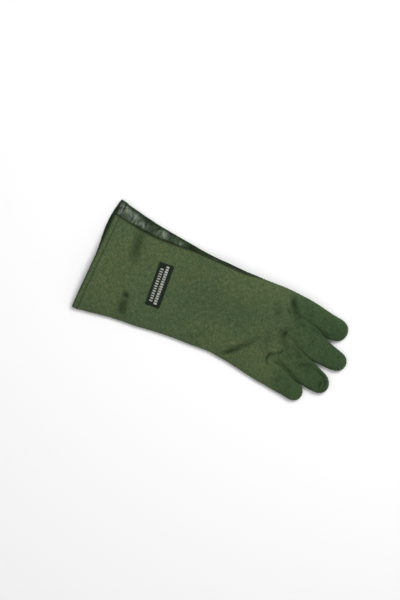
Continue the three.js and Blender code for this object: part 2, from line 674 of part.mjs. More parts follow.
function labelGeometry() {
  const patch = { points: [], facets: [] };
  const [across, down] = [4, 10];
  const turn = THREE.MathUtils.degToRad(labelTurn);
  for (let i = 0; i <= down; i += 1) {
    for (let j = 0; j <= across; j += 1) {
      const [u, v] = [(j / across - 0.5) * labelWidth, (0.5 - i / down) * labelLength];
      const x = labelFromCuff + u * Math.cos(turn) - v * Math.sin(turn);
      const y = labelAside + u * Math.sin(turn) + v * Math.cos(turn);
      patch.points.push(new THREE.Vector3(x, y, backHeight(x, y) + seamGap + labelWall));
    }
  }
  for (let i = 0; i < down; i += 1) {
    for (let j = 0; j < across; j += 1) {
      const a = i * (across + 1) + j;
      const [b, c, d] = [a + across + 1, a + across + 2, a + 1];
      patch.facets.push({ piece: "label", corners: [a, b, c] }, { piece: "label", corners: [a, c, d] });
    }
  }
  return pieceGeometry(patch, normalsOf(patch), "label", () => labelWall);
}
addPiece("label", labelGeometry(), wovenLabel);

// The part's origin is the middle of its underside.
const box = new THREE.Box3().setFromObject(glove);
glove.position.set(-(box.min.x + box.max.x) / 2, -(box.min.y + box.max.y) / 2, -box.min.z);
const part = new THREE.Group();
part.add(glove);

export default part;
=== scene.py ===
# A flight glove for the right hand, lying on its palm: sewn fabric back, leather palm, long cuff.
import math
from types import SimpleNamespace
import bpy
import numpy as np
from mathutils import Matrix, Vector, noise
from mathutils.bvhtree import BVHTree
from mathutils.kdtree import KDTree


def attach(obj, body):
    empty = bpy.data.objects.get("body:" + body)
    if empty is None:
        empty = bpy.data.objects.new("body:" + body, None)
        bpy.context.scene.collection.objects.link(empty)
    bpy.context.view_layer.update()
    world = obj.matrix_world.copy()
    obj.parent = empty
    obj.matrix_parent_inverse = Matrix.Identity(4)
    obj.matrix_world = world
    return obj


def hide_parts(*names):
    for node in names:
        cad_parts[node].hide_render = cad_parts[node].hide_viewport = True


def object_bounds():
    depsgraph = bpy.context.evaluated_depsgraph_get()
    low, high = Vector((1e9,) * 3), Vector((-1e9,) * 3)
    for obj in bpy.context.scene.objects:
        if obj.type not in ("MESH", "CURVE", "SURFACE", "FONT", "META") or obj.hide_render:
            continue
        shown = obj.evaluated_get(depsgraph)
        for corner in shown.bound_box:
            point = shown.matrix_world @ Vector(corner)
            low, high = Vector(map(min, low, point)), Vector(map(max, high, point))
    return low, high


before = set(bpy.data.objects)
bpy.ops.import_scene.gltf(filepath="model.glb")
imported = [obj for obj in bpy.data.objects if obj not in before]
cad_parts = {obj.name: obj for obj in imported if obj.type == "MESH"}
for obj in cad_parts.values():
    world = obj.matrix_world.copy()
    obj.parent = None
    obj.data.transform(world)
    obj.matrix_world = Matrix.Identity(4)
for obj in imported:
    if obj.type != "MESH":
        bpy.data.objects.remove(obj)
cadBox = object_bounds()
print("frame loaded")

# The glove's own sizes in mm, from the cuff's edge towards the fingertips
gloveForm = {
    "bodyLength": 269.0, "hemWidth": 10.5, "laneLength": 85.0, "thumbRoot": 98.0, "thumbLength": 172.0,
    "cuffWidth": 153.5, "wristWidth": 115.0, "handWidth": 125.5, "handOffset": 9.0,
    "thumbWidth": 42.0, "thumbOffset": 42.0,
    "cuffHeight": 16.0, "wristHeight": 11.5, "handHeight": 13.0, "fingerHeight": 11.5, "thumbHeight": 10.5,
    "edgeHeight": 4.6, "edgeCurl": 6.0,
    "furrowLength": 26.0, "furrowWidth": 3.4, "furrowOnPalm": 1.0,
    "fabricWall": 1.1, "leatherWall": 1.3, "hemLayers": 2.0, "thumbClearance": 0.8, "fingerClearance": 0.7,
    "stripOnTop": 23.5, "sideSeamUnder": 3.2, "gussetTop": 3.4, "gussetUnder": 3.0,
    "cuffSkew": 2.4, "cuffLip": 0.9, "cuffUnderlap": 4.0, "ownFrom": 0.26, "ownTo": 0.8,
    "seamDraw": 0.05,  # how far each cut edge is drawn back at a seam
}
form = SimpleNamespace(**gloveForm)

bodySections = {
    "at": [0.0, 0.075, 0.15, 0.22, 0.34, 0.4, 0.49, 0.6, 0.69, 0.76, 0.82, 0.9, 1.0],
    "flare": [1.0, 0.85, 0.66, 0.51, 0.35, 0.24, 0.11, 0.055, 0.0, 0.0, 0.0, 0.0, 0.0],
    "spread": [0.0, 0.0, 0.0, 0.0, 0.0, 0.0, 0.0, 0.0, 0.0, 0.15, 0.38, 0.8, 1.0],
    "shift": [-0.06, -0.05, 0.03, 0.11, 0.28, 0.4, 0.56, 0.77, 0.98, 1.03, 1.05, 1.04, 0.94],
    "mouth": [1.0, 0.85, 0.5, 0.2, 0.0, 0.0, 0.0, 0.0, 0.0, 0.0, 0.0, 0.0, 0.0],
    "knuckle": [0.0, 0.0, 0.0, 0.0, 0.0, 0.05, 0.2, 0.5, 0.8, 1.0, 1.0, 0.9, 0.7],
    "strip": [1.0, 0.94, 0.86, 0.76, 0.52, 0.37, 0.26, 0.24, 0.21, 0.06, -0.09, -0.13, -0.136],
    "under": [0.573, 0.585, 0.592, 0.594, 0.576, 0.55, 0.42, 0.17, 0.06, 0.034, 0.028, 0.026, 0.0255],
}
fingers = {"index": 68.5, "middle": 85.0, "ring": 77.5, "little": 51.5}
furrowDepths = [0.5, 0.5, 1.1]  # on the back, between one finger and the next
fingerLanes = {
    "at": [0.0, 0.2, 0.5, 0.8, 1.0],
    "indexNear": [0.5, 0.492, 0.473, 0.463, 0.455], "indexFar": [0.278, 0.267, 0.224, 0.231, 0.235],
    "middleNear": [0.278, 0.267, 0.214, 0.172, 0.162], "middleFar": [0.055, 0.008, -0.052, -0.052, -0.046],
    "ringNear": [0.055, 0.008, -0.055, -0.113, -0.131], "ringFar": [-0.22, -0.25, -0.32, -0.342, -0.338],
    "littleNear": [-0.22, -0.25, -0.324, -0.352, -0.356], "littleFar": [-0.5, -0.512, -0.523, -0.526, -0.526],
}
thumbSections = {
    "at": [0.0, 0.15, 0.35, 0.55, 0.75, 0.9, 1.0],
    "width": [0.9, 0.97, 1.0, 0.97, 0.88, 0.76, 0.7],
    "height": [0.8, 0.92, 1.0, 1.0, 0.97, 0.92, 0.86],
    "aside": [-0.05, -0.03, 0.0, 0.02, 0.0, -0.04, -0.06],
}
# How the folded thumb lifts the hand, in shares of the thumb's length and width, of a finger and of the section
thumbLift = {"palmFrom": 0.08, "palmTo": 0.255, "backFrom": -0.115, "backTo": 0.405, "outerEdge": 0.3,
             "innerEdge": 0.05, "fallBefore": 0.15, "fallPast": 0.85, "lowShare": 0.1, "highShare": 0.75}
# How the cuff's edge runs, in shares of the body's length, of half the width and of the section
cuffEdge = {"reach": 0.2, "lipFrom": 0.75, "lipTo": 0.98, "lapAt": 0.55, "lapWidth": 0.38, "underTo": 0.25,
            "topFrom": 0.6}
topFrom, topTo = 0.45, 0.8  # shares of a section's height at which its upper side begins and is full
# Broad folds of the upper side: from, to, width and depth in mm
broadFolds = [
    ((37.7, 46.4), (45.7, 12.6), 10.0, 1.8),
    ((57.8, -31.4), (64.6, -55.2), 7.0, 2.0),
    ((204.4, -43.9), (235.4, -5.0), 7.0, 1.6),
    ((255.6, 56.5), (262.3, 46.4), 6.0, 1.8),
    ((256.9, 17.6), (265.0, 12.6), 6.0, 1.6),
    ((254.2, -16.3), (265.0, -23.8), 7.0, 2.0),
]


def easeStep(low, high, value):
    t = np.clip((np.asarray(value, float) - low) / (high - low), 0, 1)
    return t * t * (3 - 2 * t)


def mix(a, b, t):
    return a + (b - a) * t


def bell(value, middle, width):
    return np.exp(-(((value - middle) / width) ** 2))


def unit(vectors, least=1e-9):
    return vectors / np.maximum(np.linalg.norm(vectors, axis=1, keepdims=True), least)


def cornersOf(grid):  # the four corners of each face of a grid
    return np.stack([grid[:-1, :-1], grid[:-1, 1:], grid[1:, 1:], grid[1:, :-1]], axis=-1).reshape(-1, 4)


def tipFan(lastRow, tip):  # triangles from the last ring to the tip, which is their third and fourth corner
    tips = np.full(len(lastRow) - 1, tip)
    return np.stack([lastRow[:-1], lastRow[1:], tips, tips], axis=-1)


def along(table, at, column):  # a smooth curve through a table's rows
    x, v = np.array(table["at"]), np.array(table[column])
    slope = np.zeros(len(x))
    slope[1:-1] = (v[2:] - v[:-2]) / (x[2:] - x[:-2])
    at = np.clip(np.asarray(at, float), x[0], x[-1])
    i = np.clip(np.searchsorted(x, at) - 1, 0, len(x) - 2)
    step = x[i + 1] - x[i]
    t = (at - x[i]) / step
    ends = (2 * t**3 - 3 * t**2 + 1) * v[i] + (3 * t**2 - 2 * t**3) * v[i + 1]
    return ends + ((t**3 - 2 * t**2 + t) * slope[i] + (t**3 - t**2) * slope[i + 1]) * step


def sectionLoop(half, height, crown=3.0, steps=480):  # one flat-lying tube's section, over the top first
    turn = np.linspace(0, 2 * math.pi, steps + 1)
    across = np.cos(turn)
    out = np.abs(across)
    edge = min(form.edgeHeight, height * 0.45)
    flat = 1 - min(form.edgeCurl, half * 0.5) / half
    upper = edge + (height - edge) * np.sqrt(np.maximum(0, 1 - out**crown))
    curl = np.clip((out - flat) / (1 - flat), 0, 1)
    lower = edge * (1 - np.sqrt(np.maximum(0, 1 - curl**2)))
    z = np.where(np.arange(steps + 1) <= steps // 2, upper, lower)
    y = across * half
    lengths = np.concatenate([[0], np.cumsum(np.hypot(np.diff(y), np.diff(z)))])
    return SimpleNamespace(y=y, z=z, share=z / height, lengths=lengths, total=lengths[-1], top=lengths[steps // 2])


def onLoop(loop, length):
    s = np.mod(length, loop.total)
    return (np.interp(s, loop.lengths, loop.y), np.interp(s, loop.lengths, loop.z),
            np.interp(s, loop.lengths, loop.share))


def bodyShape(x):
    at = np.clip(np.asarray(x, float) / form.bodyLength, 0, 1)
    width = (form.wristWidth + (form.cuffWidth - form.wristWidth) * along(bodySections, at, "flare")
             + (form.handWidth - form.wristWidth) * along(bodySections, at, "spread"))
    height = (form.wristHeight + (form.cuffHeight - form.wristHeight) * along(bodySections, at, "mouth")
              + (form.handHeight - form.wristHeight) * along(bodySections, at, "knuckle"))
    return SimpleNamespace(width=width, height=height, middle=form.handOffset * along(bodySections, at, "shift"),
                           strip=along(bodySections, at, "strip"), under=along(bodySections, at, "under"))


rootShape = bodyShape(form.bodyLength)
thumbTip = form.thumbRoot + form.thumbLength
lift, cuff = SimpleNamespace(**thumbLift), SimpleNamespace(**cuffEdge)


def lane(finger, distance):  # a finger's middle line and full width
    at = np.clip(distance / form.laneLength, 0, 1)
    near, far = along(fingerLanes, at, finger + "Near"), along(fingerLanes, at, finger + "Far")
    return rootShape.middle + (near + far) / 2 * form.handWidth, (near - far) * form.handWidth


rootShares = [float(lane(name, 0)[1]) / form.handWidth for name in fingers]
rootEdges = [float(rootShape.middle + rootShape.width / 2)]
for share in rootShares:
    rootEdges.append(rootEdges[-1] - share * float(rootShape.width))


def lifted(x, y, share):  # the thumb below lifts the palm steeply and the back gently
    height = form.thumbHeight + form.thumbClearance
    inner = form.thumbOffset - form.thumbWidth / 2
    outside = inner - form.thumbWidth
    fallEnd = form.bodyLength + max(fingers.values()) * lift.fallPast
    fall = 1 - easeStep(thumbTip - form.thumbWidth * lift.fallBefore, fallEnd, x)
    reach = lambda part: form.thumbRoot + part * form.thumbLength
    palm = easeStep(reach(lift.palmFrom), reach(lift.palmTo), x) * easeStep(
        outside + form.thumbWidth * lift.outerEdge, inner - form.thumbWidth * lift.innerEdge, y)
    back = easeStep(reach(lift.backFrom), reach(lift.backTo), x) * easeStep(outside, form.thumbOffset, y)
    return height * fall * mix(palm, back, easeStep(lift.lowShare, lift.highShare, share))


def broadFoldDepth(x, y):
    depth = 0
    for start, end, width, deep in broadFolds:
        run = (end[0] - start[0], end[1] - start[1])
        t = np.clip(((x - start[0]) * run[0] + (y - start[1]) * run[1]) / (run[0] ** 2 + run[1] ** 2), 0, 1)
        away = np.hypot(x - start[0] - t * run[0], y - start[1] - t * run[1])
        depth = depth + deep * bell(away, 0, width * 0.6)
    return depth


def place(x, y, z, share):  # a raw point of a section, at its place on the lying glove
    across = 2 * y / form.cuffWidth
    nearCuff = 1 - easeStep(0, form.bodyLength * cuff.reach, x)
    lap = form.cuffLip * (1 - easeStep(cuff.lipFrom, cuff.lipTo, np.abs(across)))
    lap = lap + form.cuffUnderlap * bell(across, cuff.lapAt, cuff.lapWidth)
    lap = lap * (1 - easeStep(cuff.underTo, cuff.topFrom, share))
    edgeX = x - nearCuff * (form.cuffSkew * across + lap)
    height = z + lifted(x, y, share) - easeStep(topFrom, topTo, share) * broadFoldDepth(x, y)
    return np.stack([edgeX, y, height], axis=-1)


def furrow(x, y, share):
    depth = easeStep(form.bodyLength - form.furrowLength, form.bodyLength, x)
    drop = np.zeros(np.shape(y))
    for parting, deep in zip(rootEdges[1:-1], furrowDepths):
        near = bell(y, parting, form.furrowWidth)
        drop = drop + near * np.where(share > 0.4, -deep, form.furrowOnPalm)
    return drop * depth


# How finely the visible walls are cut
fineness = {"backColumns": 30, "palmColumns": 24, "gussetColumns": 8, "bodyRows": 214, "fingerRows": 56,
            "tipRows": 14, "thumbColumns": 40, "thumbRows": 120}
fine = SimpleNamespace(**fineness)
fingerNames = list(fingers)
gussetNodes = ["gusset_index_middle", "gusset_middle_ring", "gusset_ring_little"]
backPiece, palmPiece, firstGusset = 0, 1, 2
sewn = {"points": [], "shares": [], "count": 0, "corners": [], "uvs": [], "owner": []}


def addPoints(points, shares):
    points = np.atleast_2d(points)
    ids = np.arange(sewn["count"], sewn["count"] + len(points))
    sewn["points"].append(points)
    sewn["shares"].append(np.broadcast_to(shares, (len(points),)))
    sewn["count"] += len(points)
    return ids


def addGrid(ids, u, v, owner):  # ids, u and v are (rows, columns), and owner is for each face
    sewn["corners"].append(cornersOf(ids))
    sewn["uvs"].append(np.stack([cornersOf(u), cornersOf(v)], axis=-1))
    sewn["owner"].append(owner.reshape(-1))


# Cuff and hand
def columnShares(shares, columns):
    starts = np.concatenate([[0], np.cumsum(shares)])[:-1]
    return np.concatenate([s + part * np.arange(columns) / columns for s, part in zip(starts, shares)])


topCount = fine.backColumns * 4
loopCount = topCount + fine.palmColumns * 4
backShares = columnShares(rootShares, fine.backColumns)
palmShares = columnShares(rootShares[::-1], fine.palmColumns)
hemStations = [0, 0.7, 1.6, 2.7, 4.0, 5.2, 6.5, 7.8, 9.0, 9.9, 10.5, 11.1]
bodyParts = (np.arange(1, fine.bodyRows + 1) / fine.bodyRows) ** 0.98
stations = np.concatenate([hemStations, mix(hemStations[-1], form.bodyLength, bodyParts)])
bodyIds, bodyV, rawRoot = [], [], None
for x in stations:
    shape = bodyShape(x)
    loop = sectionLoop(float(shape.width) / 2, float(shape.height))
    strip = float(shape.strip)
    seamA = strip * form.stripOnTop if strip > 0 else -strip / bodySections["strip"][-1] * form.sideSeamUnder
    seamB = loop.top + float(shape.under * shape.width)
    lengths = np.concatenate([mix(seamA, seamB, backShares), mix(seamB, loop.total + seamA, palmShares)])
    y, z, share = onLoop(loop, lengths)
    y = y + float(shape.middle)
    z = z + furrow(x, y, share)
    bodyIds.append(addPoints(place(np.full(len(y), x), y, z, share), share))
    bodyV.append(np.concatenate([lengths, [loop.total + seamA]]))
    rawRoot = (y, z, share)
bodyIds = np.array(bodyIds)
wrapped = np.concatenate([bodyIds, bodyIds[:, :1]], axis=1)
bodyV = np.array(bodyV)
bodyU = np.broadcast_to(stations[:, None], bodyV.shape)
ownerRow = np.where(np.arange(loopCount) < topCount, backPiece, palmPiece)
addGrid(wrapped, bodyU, bodyV, np.broadcast_to(ownerRow, (len(stations) - 1, loopCount)))
print("cuff and hand laid out")

# Crotches: upright lines at which two fingers part
crotches = []
crotchNormals = {}
for k in range(1, 4):
    top, under = fine.backColumns * k, topCount + fine.palmColumns * (4 - k)
    t = np.linspace(0, 1, fine.gussetColumns + 1)
    y, z, share = [mix(a[top], a[under], t) for a in rawRoot]
    inner = addPoints(place(np.full(len(y) - 2, form.bodyLength), y[1:-1], z[1:-1], share[1:-1]), share[1:-1])
    ids = np.concatenate([[bodyIds[-1, top]], inner, [bodyIds[-1, under]]])
    crotches.append((ids, y, z, share))
    for point, part in zip(ids, t):
        crotchNormals[int(point)] = Vector((1, 0, 1 - 2 * part)).normalized()

# Fingers: rings of points, and how full and how thick each ring is toward the tip
def ringTable(first, rows, tipSpan):
    turn = np.arange(1, fine.tipRows) / fine.tipRows * math.pi / 2
    at = np.concatenate([np.arange(first, rows + 1) / rows * (1 - tipSpan), 1 - tipSpan + tipSpan * np.sin(turn)])
    return at, np.concatenate([np.ones(rows + 1 - first), np.cos(turn) ** 0.85])


def tipThickness(tipRound):
    return mix(0.42, 1, tipRound**0.8)


fingerGrids = {}
for k, (name, length) in enumerate(fingers.items()):
    rootMiddle = (rootEdges[k] + rootEdges[k + 1]) / 2
    hasRadial, hasUlnar = k > 0, k < 3
    blocks = []  # (ids, y, z, share, kind, part)
    span = np.arange(fine.backColumns * k, fine.backColumns * (k + 1))
    blocks.append((bodyIds[-1, span], *[a[span] for a in rawRoot], "back", np.arange(len(span)) / len(span)))
    if hasUlnar:
        ids, y, z, share = crotches[k]
        blocks.append((ids[:-1], y[:-1], z[:-1], share[:-1], "ulnar", np.arange(len(ids) - 1) / (len(ids) - 1)))
    span = (topCount + fine.palmColumns * (3 - k) + np.arange(fine.palmColumns)) % loopCount
    blocks.append((bodyIds[-1, span], *[a[span] for a in rawRoot], "palm", np.arange(len(span)) / len(span)))
    if hasRadial:
        ids, y, z, share = [a[::-1] for a in crotches[k - 1]]
        blocks.append((ids[:-1], y[:-1], z[:-1], share[:-1], "radial", np.arange(len(ids) - 1) / (len(ids) - 1)))
    tipSpan = float(lane(name, length * 0.8)[1]) * 0.5 / length
    centre = lambda at: (form.bodyLength + length * at, float(lane(name, length * at)[0]))

    def swing(at):
        a, b = centre(max(0, at - 0.05)), centre(min(1, at + 0.05))
        return math.atan2(b[1] - a[1], b[0] - a[0]) * float(easeStep(0, 0.35, at))

    rings, ringsV, ringsU = [np.concatenate([b[0] for b in blocks])], [], [form.bodyLength]
    half0 = rootShares[k] * float(rootShape.width) / 2
    rawY, rawZ, rawShare = [np.concatenate([b[i] for b in blocks]) for i in (1, 2, 3)]
    for at, tipRound in zip(*ringTable(1, fine.fingerRows, tipSpan)):
        angle = swing(at)
        clearance = form.fingerClearance * mix(0.1, 1, float(easeStep(0.3, 0.7, at)))
        half = (float(lane(name, length * at)[1]) - clearance) / 2 * math.cos(angle) * tipRound
        height = mix(float(rootShape.height), form.fingerHeight, float(easeStep(0, 0.5, at)))
        loop = sectionLoop(half, height * tipThickness(tipRound), 2.4)
        backFrom = (form.gussetTop if hasRadial else -form.sideSeamUnder) * tipRound
        backTo = loop.top + (-form.gussetTop if hasUlnar else form.sideSeamUnder) * tipRound
        palmFrom = loop.top + (form.gussetUnder if hasUlnar else form.sideSeamUnder) * tipRound
        palmTo = loop.total - (form.gussetUnder if hasRadial else form.sideSeamUnder) * tipRound
        spans = {"back": (backFrom, backTo), "ulnar": (backTo, palmFrom), "palm": (palmFrom, palmTo),
                 "radial": (palmTo, loop.total + backFrom)}
        arcs = np.concatenate([mix(*spans[b[4]], b[5]) for b in blocks])
        py, pz, pshare = onLoop(loop, arcs)
        own = float(easeStep(form.ownFrom, form.ownTo, at))
        cx, cy = centre(at)
        across = mix((rawY - rootMiddle) / half0, py / half, own) * half
        z, share = mix(rawZ, pz, own), mix(rawShare, pshare, own)
        points = place(cx - across * math.sin(angle), cy + across * math.cos(angle), z, share)
        rings.append(addPoints(points, share))
        ringsV.append(np.concatenate([arcs, [loop.total + backFrom]]))
        ringsU.append(form.bodyLength + length * at)
    rings = np.array(rings)
    ringsV = np.array([ringsV[0]] + ringsV)
    kinds = sum([[b[4]] * len(b[0]) for b in blocks], [])
    parts = np.concatenate([b[5] for b in blocks])
    owner = np.zeros((len(rings) - 1, rings.shape[1]), int)
    for j, (kind, part) in enumerate(zip(kinds, parts)):
        onTop = kind == "back" or (kind == "ulnar" and part < 0.5) or (kind == "radial" and part >= 0.5)
        owner[:, j] = backPiece if onTop else palmPiece
        if kind in ("ulnar", "radial"):  # a gusset, which ends before the fingertip
            owner[: fine.fingerRows, j] = firstGusset + (k if kind == "ulnar" else k - 1)
    looped = np.concatenate([rings, rings[:, :1]], axis=1)
    ringsU = np.broadcast_to(np.array(ringsU)[:, None], looped.shape)
    addGrid(looped, ringsU, ringsV, owner)
    tipX, tipY = centre(1)
    tipShare = 0.4
    tipSpot = [np.array([value]) for value in (tipX, tipY, form.edgeHeight * 0.8, tipShare)]
    tip = addPoints(place(*tipSpot), tipShare)[0]
    sewn["corners"].append(tipFan(looped[-1], tip))
    lastV = ringsV[-1]
    fanV = np.stack([lastV[:-1], lastV[1:], lastV[:-1], lastV[:-1]], axis=-1)
    sewn["uvs"].append(np.stack([tipFan(ringsU[-1], tipX), fanV], axis=-1))
    sewn["owner"].append(owner[-1])
    fingerGrids[name] = {"rings": rings, "kinds": kinds, "tip": tip}
print("fingers laid out")

points = np.concatenate(sewn["points"])
shares = np.concatenate(sewn["shares"])
corners = np.concatenate(sewn["corners"])
uvs = np.concatenate(sewn["uvs"])
owners = np.concatenate(sewn["owner"])


def surfaceNormals(points, corners, given=None):
    a, b, c, d = [points[corners[:, i]] for i in range(4)]
    flat = np.cross(c - a, d - b)
    normals = np.zeros_like(points)
    for i in range(4):
        np.add.at(normals, corners[:, i], flat)
    for index, normal in (given or {}).items():
        normals[index] = normal
    return unit(normals)


# Seams: lines of points on the sewn surface
def boundaryColumn(grid, side):  # the column at which back and palm meet past a gusset's end
    wanted = [j for j, kind in enumerate(grid["kinds"]) if kind == side]
    return wanted[len(wanted) // 2]


def columnOf(grid, kind):
    return grid["kinds"].index(kind)


indexGrid, littleGrid = fingerGrids["index"], fingerGrids["little"]
seamLines = {}
seamLines["strip"] = np.concatenate([bodyIds[:, 0], indexGrid["rings"][1:, 0]])
seamLines["outer"] = np.concatenate([bodyIds[:, topCount], littleGrid["rings"][1:, columnOf(littleGrid, "palm")]])
for name, grid in fingerGrids.items():
    rows = grid["rings"][fine.fingerRows:]
    near = rows[:, 0] if name == "index" else rows[:, boundaryColumn(grid, "radial")]
    far = rows[:, columnOf(grid, "palm")] if name == "little" else rows[:, boundaryColumn(grid, "ulnar")]
    seamLines["tip " + name] = np.concatenate([near, [grid["tip"]], far[::-1]])
for first, second in zip(fingerNames, fingerNames[1:]):
    a, b = fingerGrids[first], fingerGrids[second]
    rowsA, rowsB = a["rings"][: fine.fingerRows + 1], b["rings"][: fine.fingerRows + 1]
    upperA, upperB = rowsA[:, columnOf(a, "ulnar")], rowsB[:, 0]
    lowerA, lowerB = rowsA[:, columnOf(a, "palm")], rowsB[:, columnOf(b, "radial")]
    seamLines[f"upper {first} {second}"] = np.concatenate([upperA[::-1], upperB[1:]])
    seamLines[f"lower {first} {second}"] = np.concatenate([lowerA[::-1], lowerB[1:]])


def pathLengths(line):
    return np.concatenate([[0], np.cumsum(np.linalg.norm(np.diff(line, axis=0), axis=1))])


def evenPath(line, step):
    s = pathLengths(line)
    at = np.linspace(0, s[-1], max(2, int(s[-1] / step) + 1))
    return np.stack([np.interp(at, s, line[:, i]) for i in range(line.shape[1])], axis=1)


def pointTree(samples):
    tree = KDTree(len(samples))
    for i, sample in enumerate(samples):
        tree.insert(sample, i)
    tree.balance()
    return tree


def nearestOn(tree, points):  # how far the nearest sample is from each point, and its number
    found = [tree.find(p) for p in points]
    return np.array([f[2] for f in found]), [f[1] for f in found]


seamStep, seamApart = 0.4, 37.0  # mm between samples, and between one seam's count and the next one's
seamSamples, seamAt, seamTone = [], [], []
# How dark each seam is
seamTones = {"strip": 1.0, "outer": 0.6, "tip": 0.55, "lower": 0.5,
             "upper index middle": 0.1, "upper middle ring": 0.12, "upper ring little": 0.4}
for order, (key, ids) in enumerate(seamLines.items()):
    line = evenPath(points[ids], seamStep)
    seamSamples.append(line)
    seamAt.append(pathLengths(line) + order * seamApart)
    seamTone.append(np.full(len(line), seamTones.get(key, seamTones.get(key.split()[0]))))
seamSamples, seamAt, seamTone = [np.concatenate(a) for a in (seamSamples, seamAt, seamTone)]
seamAway, nearest = nearestOn(pointTree(seamSamples), points)
seamPlace, toneHere = seamAt[nearest], seamTone[nearest]
print("seams measured")

# Fine creases of the upper side: path in mm, width, depth, darkness of their painted shade
creases = [
    ([(252.5, 65.5), (256.5, 58.0), (261.6, 50.0), (266.3, 44.8), (274, 40)], 5.4, 0.8, 0.65),
    ([(253.0, 65.5), (255.4, 59.5), (258.3, 53.8), (262.0, 49.0)], 3.2, 1.3, 1.0),
    ([(261.0, 43.0), (265.0, 46.8), (270.4, 47.2), (272.6, 43.2), (268.6, 39.5)], 1.6, 0.5, 0.6),
    ([(272.6, 41.5), (279.1, 36.9), (286.6, 36.4)], 1.7, 0.5, 0.65),
    ([(251, 50), (254.5, 45.5), (260, 42)], 2.2, 0.5, 0.55),
    ([(286.6, 38.2), (299.4, 37.9), (310, 37.0)], 1.3, 0.35, 0.55),
    ([(291.0, 45.2), (300.5, 42.9), (312.2, 41.5), (323.0, 42.6)], 1.3, 0.55, 0.8),
    ([(266.0, 21.5), (264.8, 17.6), (263.6, 14.8), (263.4, 11.2)], 2.7, 1.8, 1.0),
    ([(268, 27), (262.5, 19.5), (262.5, 11.5), (268, 6.0), (278, 3.5)], 4.6, 0.7, 0.5),
    ([(259, 22), (256.5, 16), (259, 9.5)], 1.7, 0.6, 0.45),
    ([(271, 19.5), (277.0, 15.8), (290.1, 12.7), (299, 9.8)], 1.1, 0.35, 0.4),
    ([(268, 25), (272.5, 22)], 1.8, 0.5, 0.4),
    ([(266.8, -11.1), (262.6, -13.4), (259.2, -16.2), (257.9, -21.0), (260.2, -26.3), (264.4, -28.0)], 1.7, 1.4, 1.0),
    ([(266.4, -11.6), (270.8, -7.3), (272.3, -1.6)], 1.9, 1.1, 0.85),
    ([(270, -13), (274.2, -17.8), (289.6, -22.7), (302.9, -26.9), (314.3, -30.7)], 1.2, 0.7, 0.85),
    ([(277, -2), (282, -6.5), (288, -8)], 2.2, 0.45, 0.4),
    ([(202.4, -45.4), (207, -40.2), (212.5, -34.2), (218.5, -28.0), (224.5, -22.4)], 2.9, 1.3, 1.0),
    ([(214, -32.5), (219, -26.8), (230.2, -14.5), (235.5, -6.2)], 3.2, 0.8, 0.6),
    ([(55.2, -30.2), (57.7, -32.6), (60.4, -35.0)], 3.2, 2.2, 1.0),
    ([(57.3, -35), (59.2, -45), (63.6, -61)], 5.8, 1.2, 0.85),
    ([(38.4, 53), (40.4, 41), (42.4, 27), (46.5, 11)], 6.4, 1.2, 0.7),
    ([(26, 52), (35, 52), (40, 47)], 3.4, 0.5, 0.3),
    ([(112, 55), (128, 50), (146, 51)], 3.6, 0.4, 0.2),
    ([(151, -47), (162, -38), (170, -26)], 4.2, 0.4, 0.2),
    ([(236, 48), (243, 38), (246, 27)], 4.8, 0.5, 0.45),
    ([(240, 10), (247, 2), (249, -8)], 4.0, 0.5, 0.35),
    ([(282, 60), (286, 52), (284, 44)], 3.4, 0.5, 0.3),
    ([(300, 62), (303, 54), (301, 46)], 3.2, 0.45, 0.25),
    ([(298, 29), (301, 20), (298, 12)], 3.2, 0.45, 0.3),
    ([(322, 22), (325, 14), (322, 6)], 3.2, 0.35, 0.2),
    ([(296, -14), (303, -9.5), (310, -5.6), (317, -4.6)], 3.6, 0.6, 0.75),
    ([(284, 6), (292, 1), (300, -2)], 4.0, 0.5, 0.5),
    ([(308, -6), (312, -12), (309, -20)], 3.2, 0.45, 0.3),
    ([(280, -33), (284, -43), (281, -50)], 3.0, 0.45, 0.3),
    ([(297, -33), (300, -42), (297, -50)], 3.0, 0.35, 0.25),
    ([(315.9, -6.2), (323.6, -7.0), (332.0, -9.2), (338.8, -14.4), (341.0, -22.5), (338.6, -30.2)], 1.7, 1.1, 1.0),
    ([(334.4, -15.8), (335.0, -20.6), (334.6, -26.4)], 2.1, 1.2, 1.0),
]


def smoothPath(path, steps=8):
    p = np.array(path, float)
    p = np.concatenate([[2 * p[0] - p[1]], p, [2 * p[-1] - p[-2]]])
    out = []
    for i in range(1, len(p) - 2):
        for t in np.arange(steps) / steps:
            out.append(0.5 * (2 * p[i] + (p[i + 1] - p[i - 1]) * t
                              + (2 * p[i - 1] - 5 * p[i] + 4 * p[i + 1] - p[i + 2]) * t**2
                              + (3 * p[i] - p[i - 1] - 3 * p[i + 1] + p[i + 2]) * t**3))
    return np.array(out + [p[-2]])


def nearPath(x, y, path):
    away, share = np.full(x.shape, 1e9), np.zeros(x.shape)
    lengths = pathLengths(path)
    for a, b, s0, s1 in zip(path[:-1], path[1:], lengths[:-1], lengths[1:]):
        run = b - a
        t = np.clip(((x - a[0]) * run[0] + (y - a[1]) * run[1]) / max(1e-9, run @ run), 0, 1)
        d = np.hypot(x - a[0] - t * run[0], y - a[1] - t * run[1])
        closer = d < away
        away = np.where(closer, d, away)
        share = np.where(closer, (s0 + t * (s1 - s0)) / lengths[-1], share)
    return away, share


def creaseRelief(x, y):  # heights of the fine creases, and a mask for their painted shadow
    heights, mask = np.zeros(x.shape), np.zeros(x.shape)
    for path, width, depth, dark in creases:
        path = smoothPath(path)
        low, high = path.min(axis=0) - 5 * width, path.max(axis=0) + 5 * width
        near = np.flatnonzero((x > low[0]) & (x < high[0]) & (y > low[1]) & (y < high[1]))
        away, share = nearPath(x[near], y[near], path)
        taper = np.sin(np.pi * np.clip(share * 0.92 + 0.04, 0, 1)) ** 0.6
        valley = bell(away, 0, width)
        lip = bell(away, 2.1 * width, 1.1 * width)
        heights[near] += depth * taper * (0.42 * lip - valley)
        mask[near] = np.maximum(mask[near], valley * taper * dark)
    return heights, mask


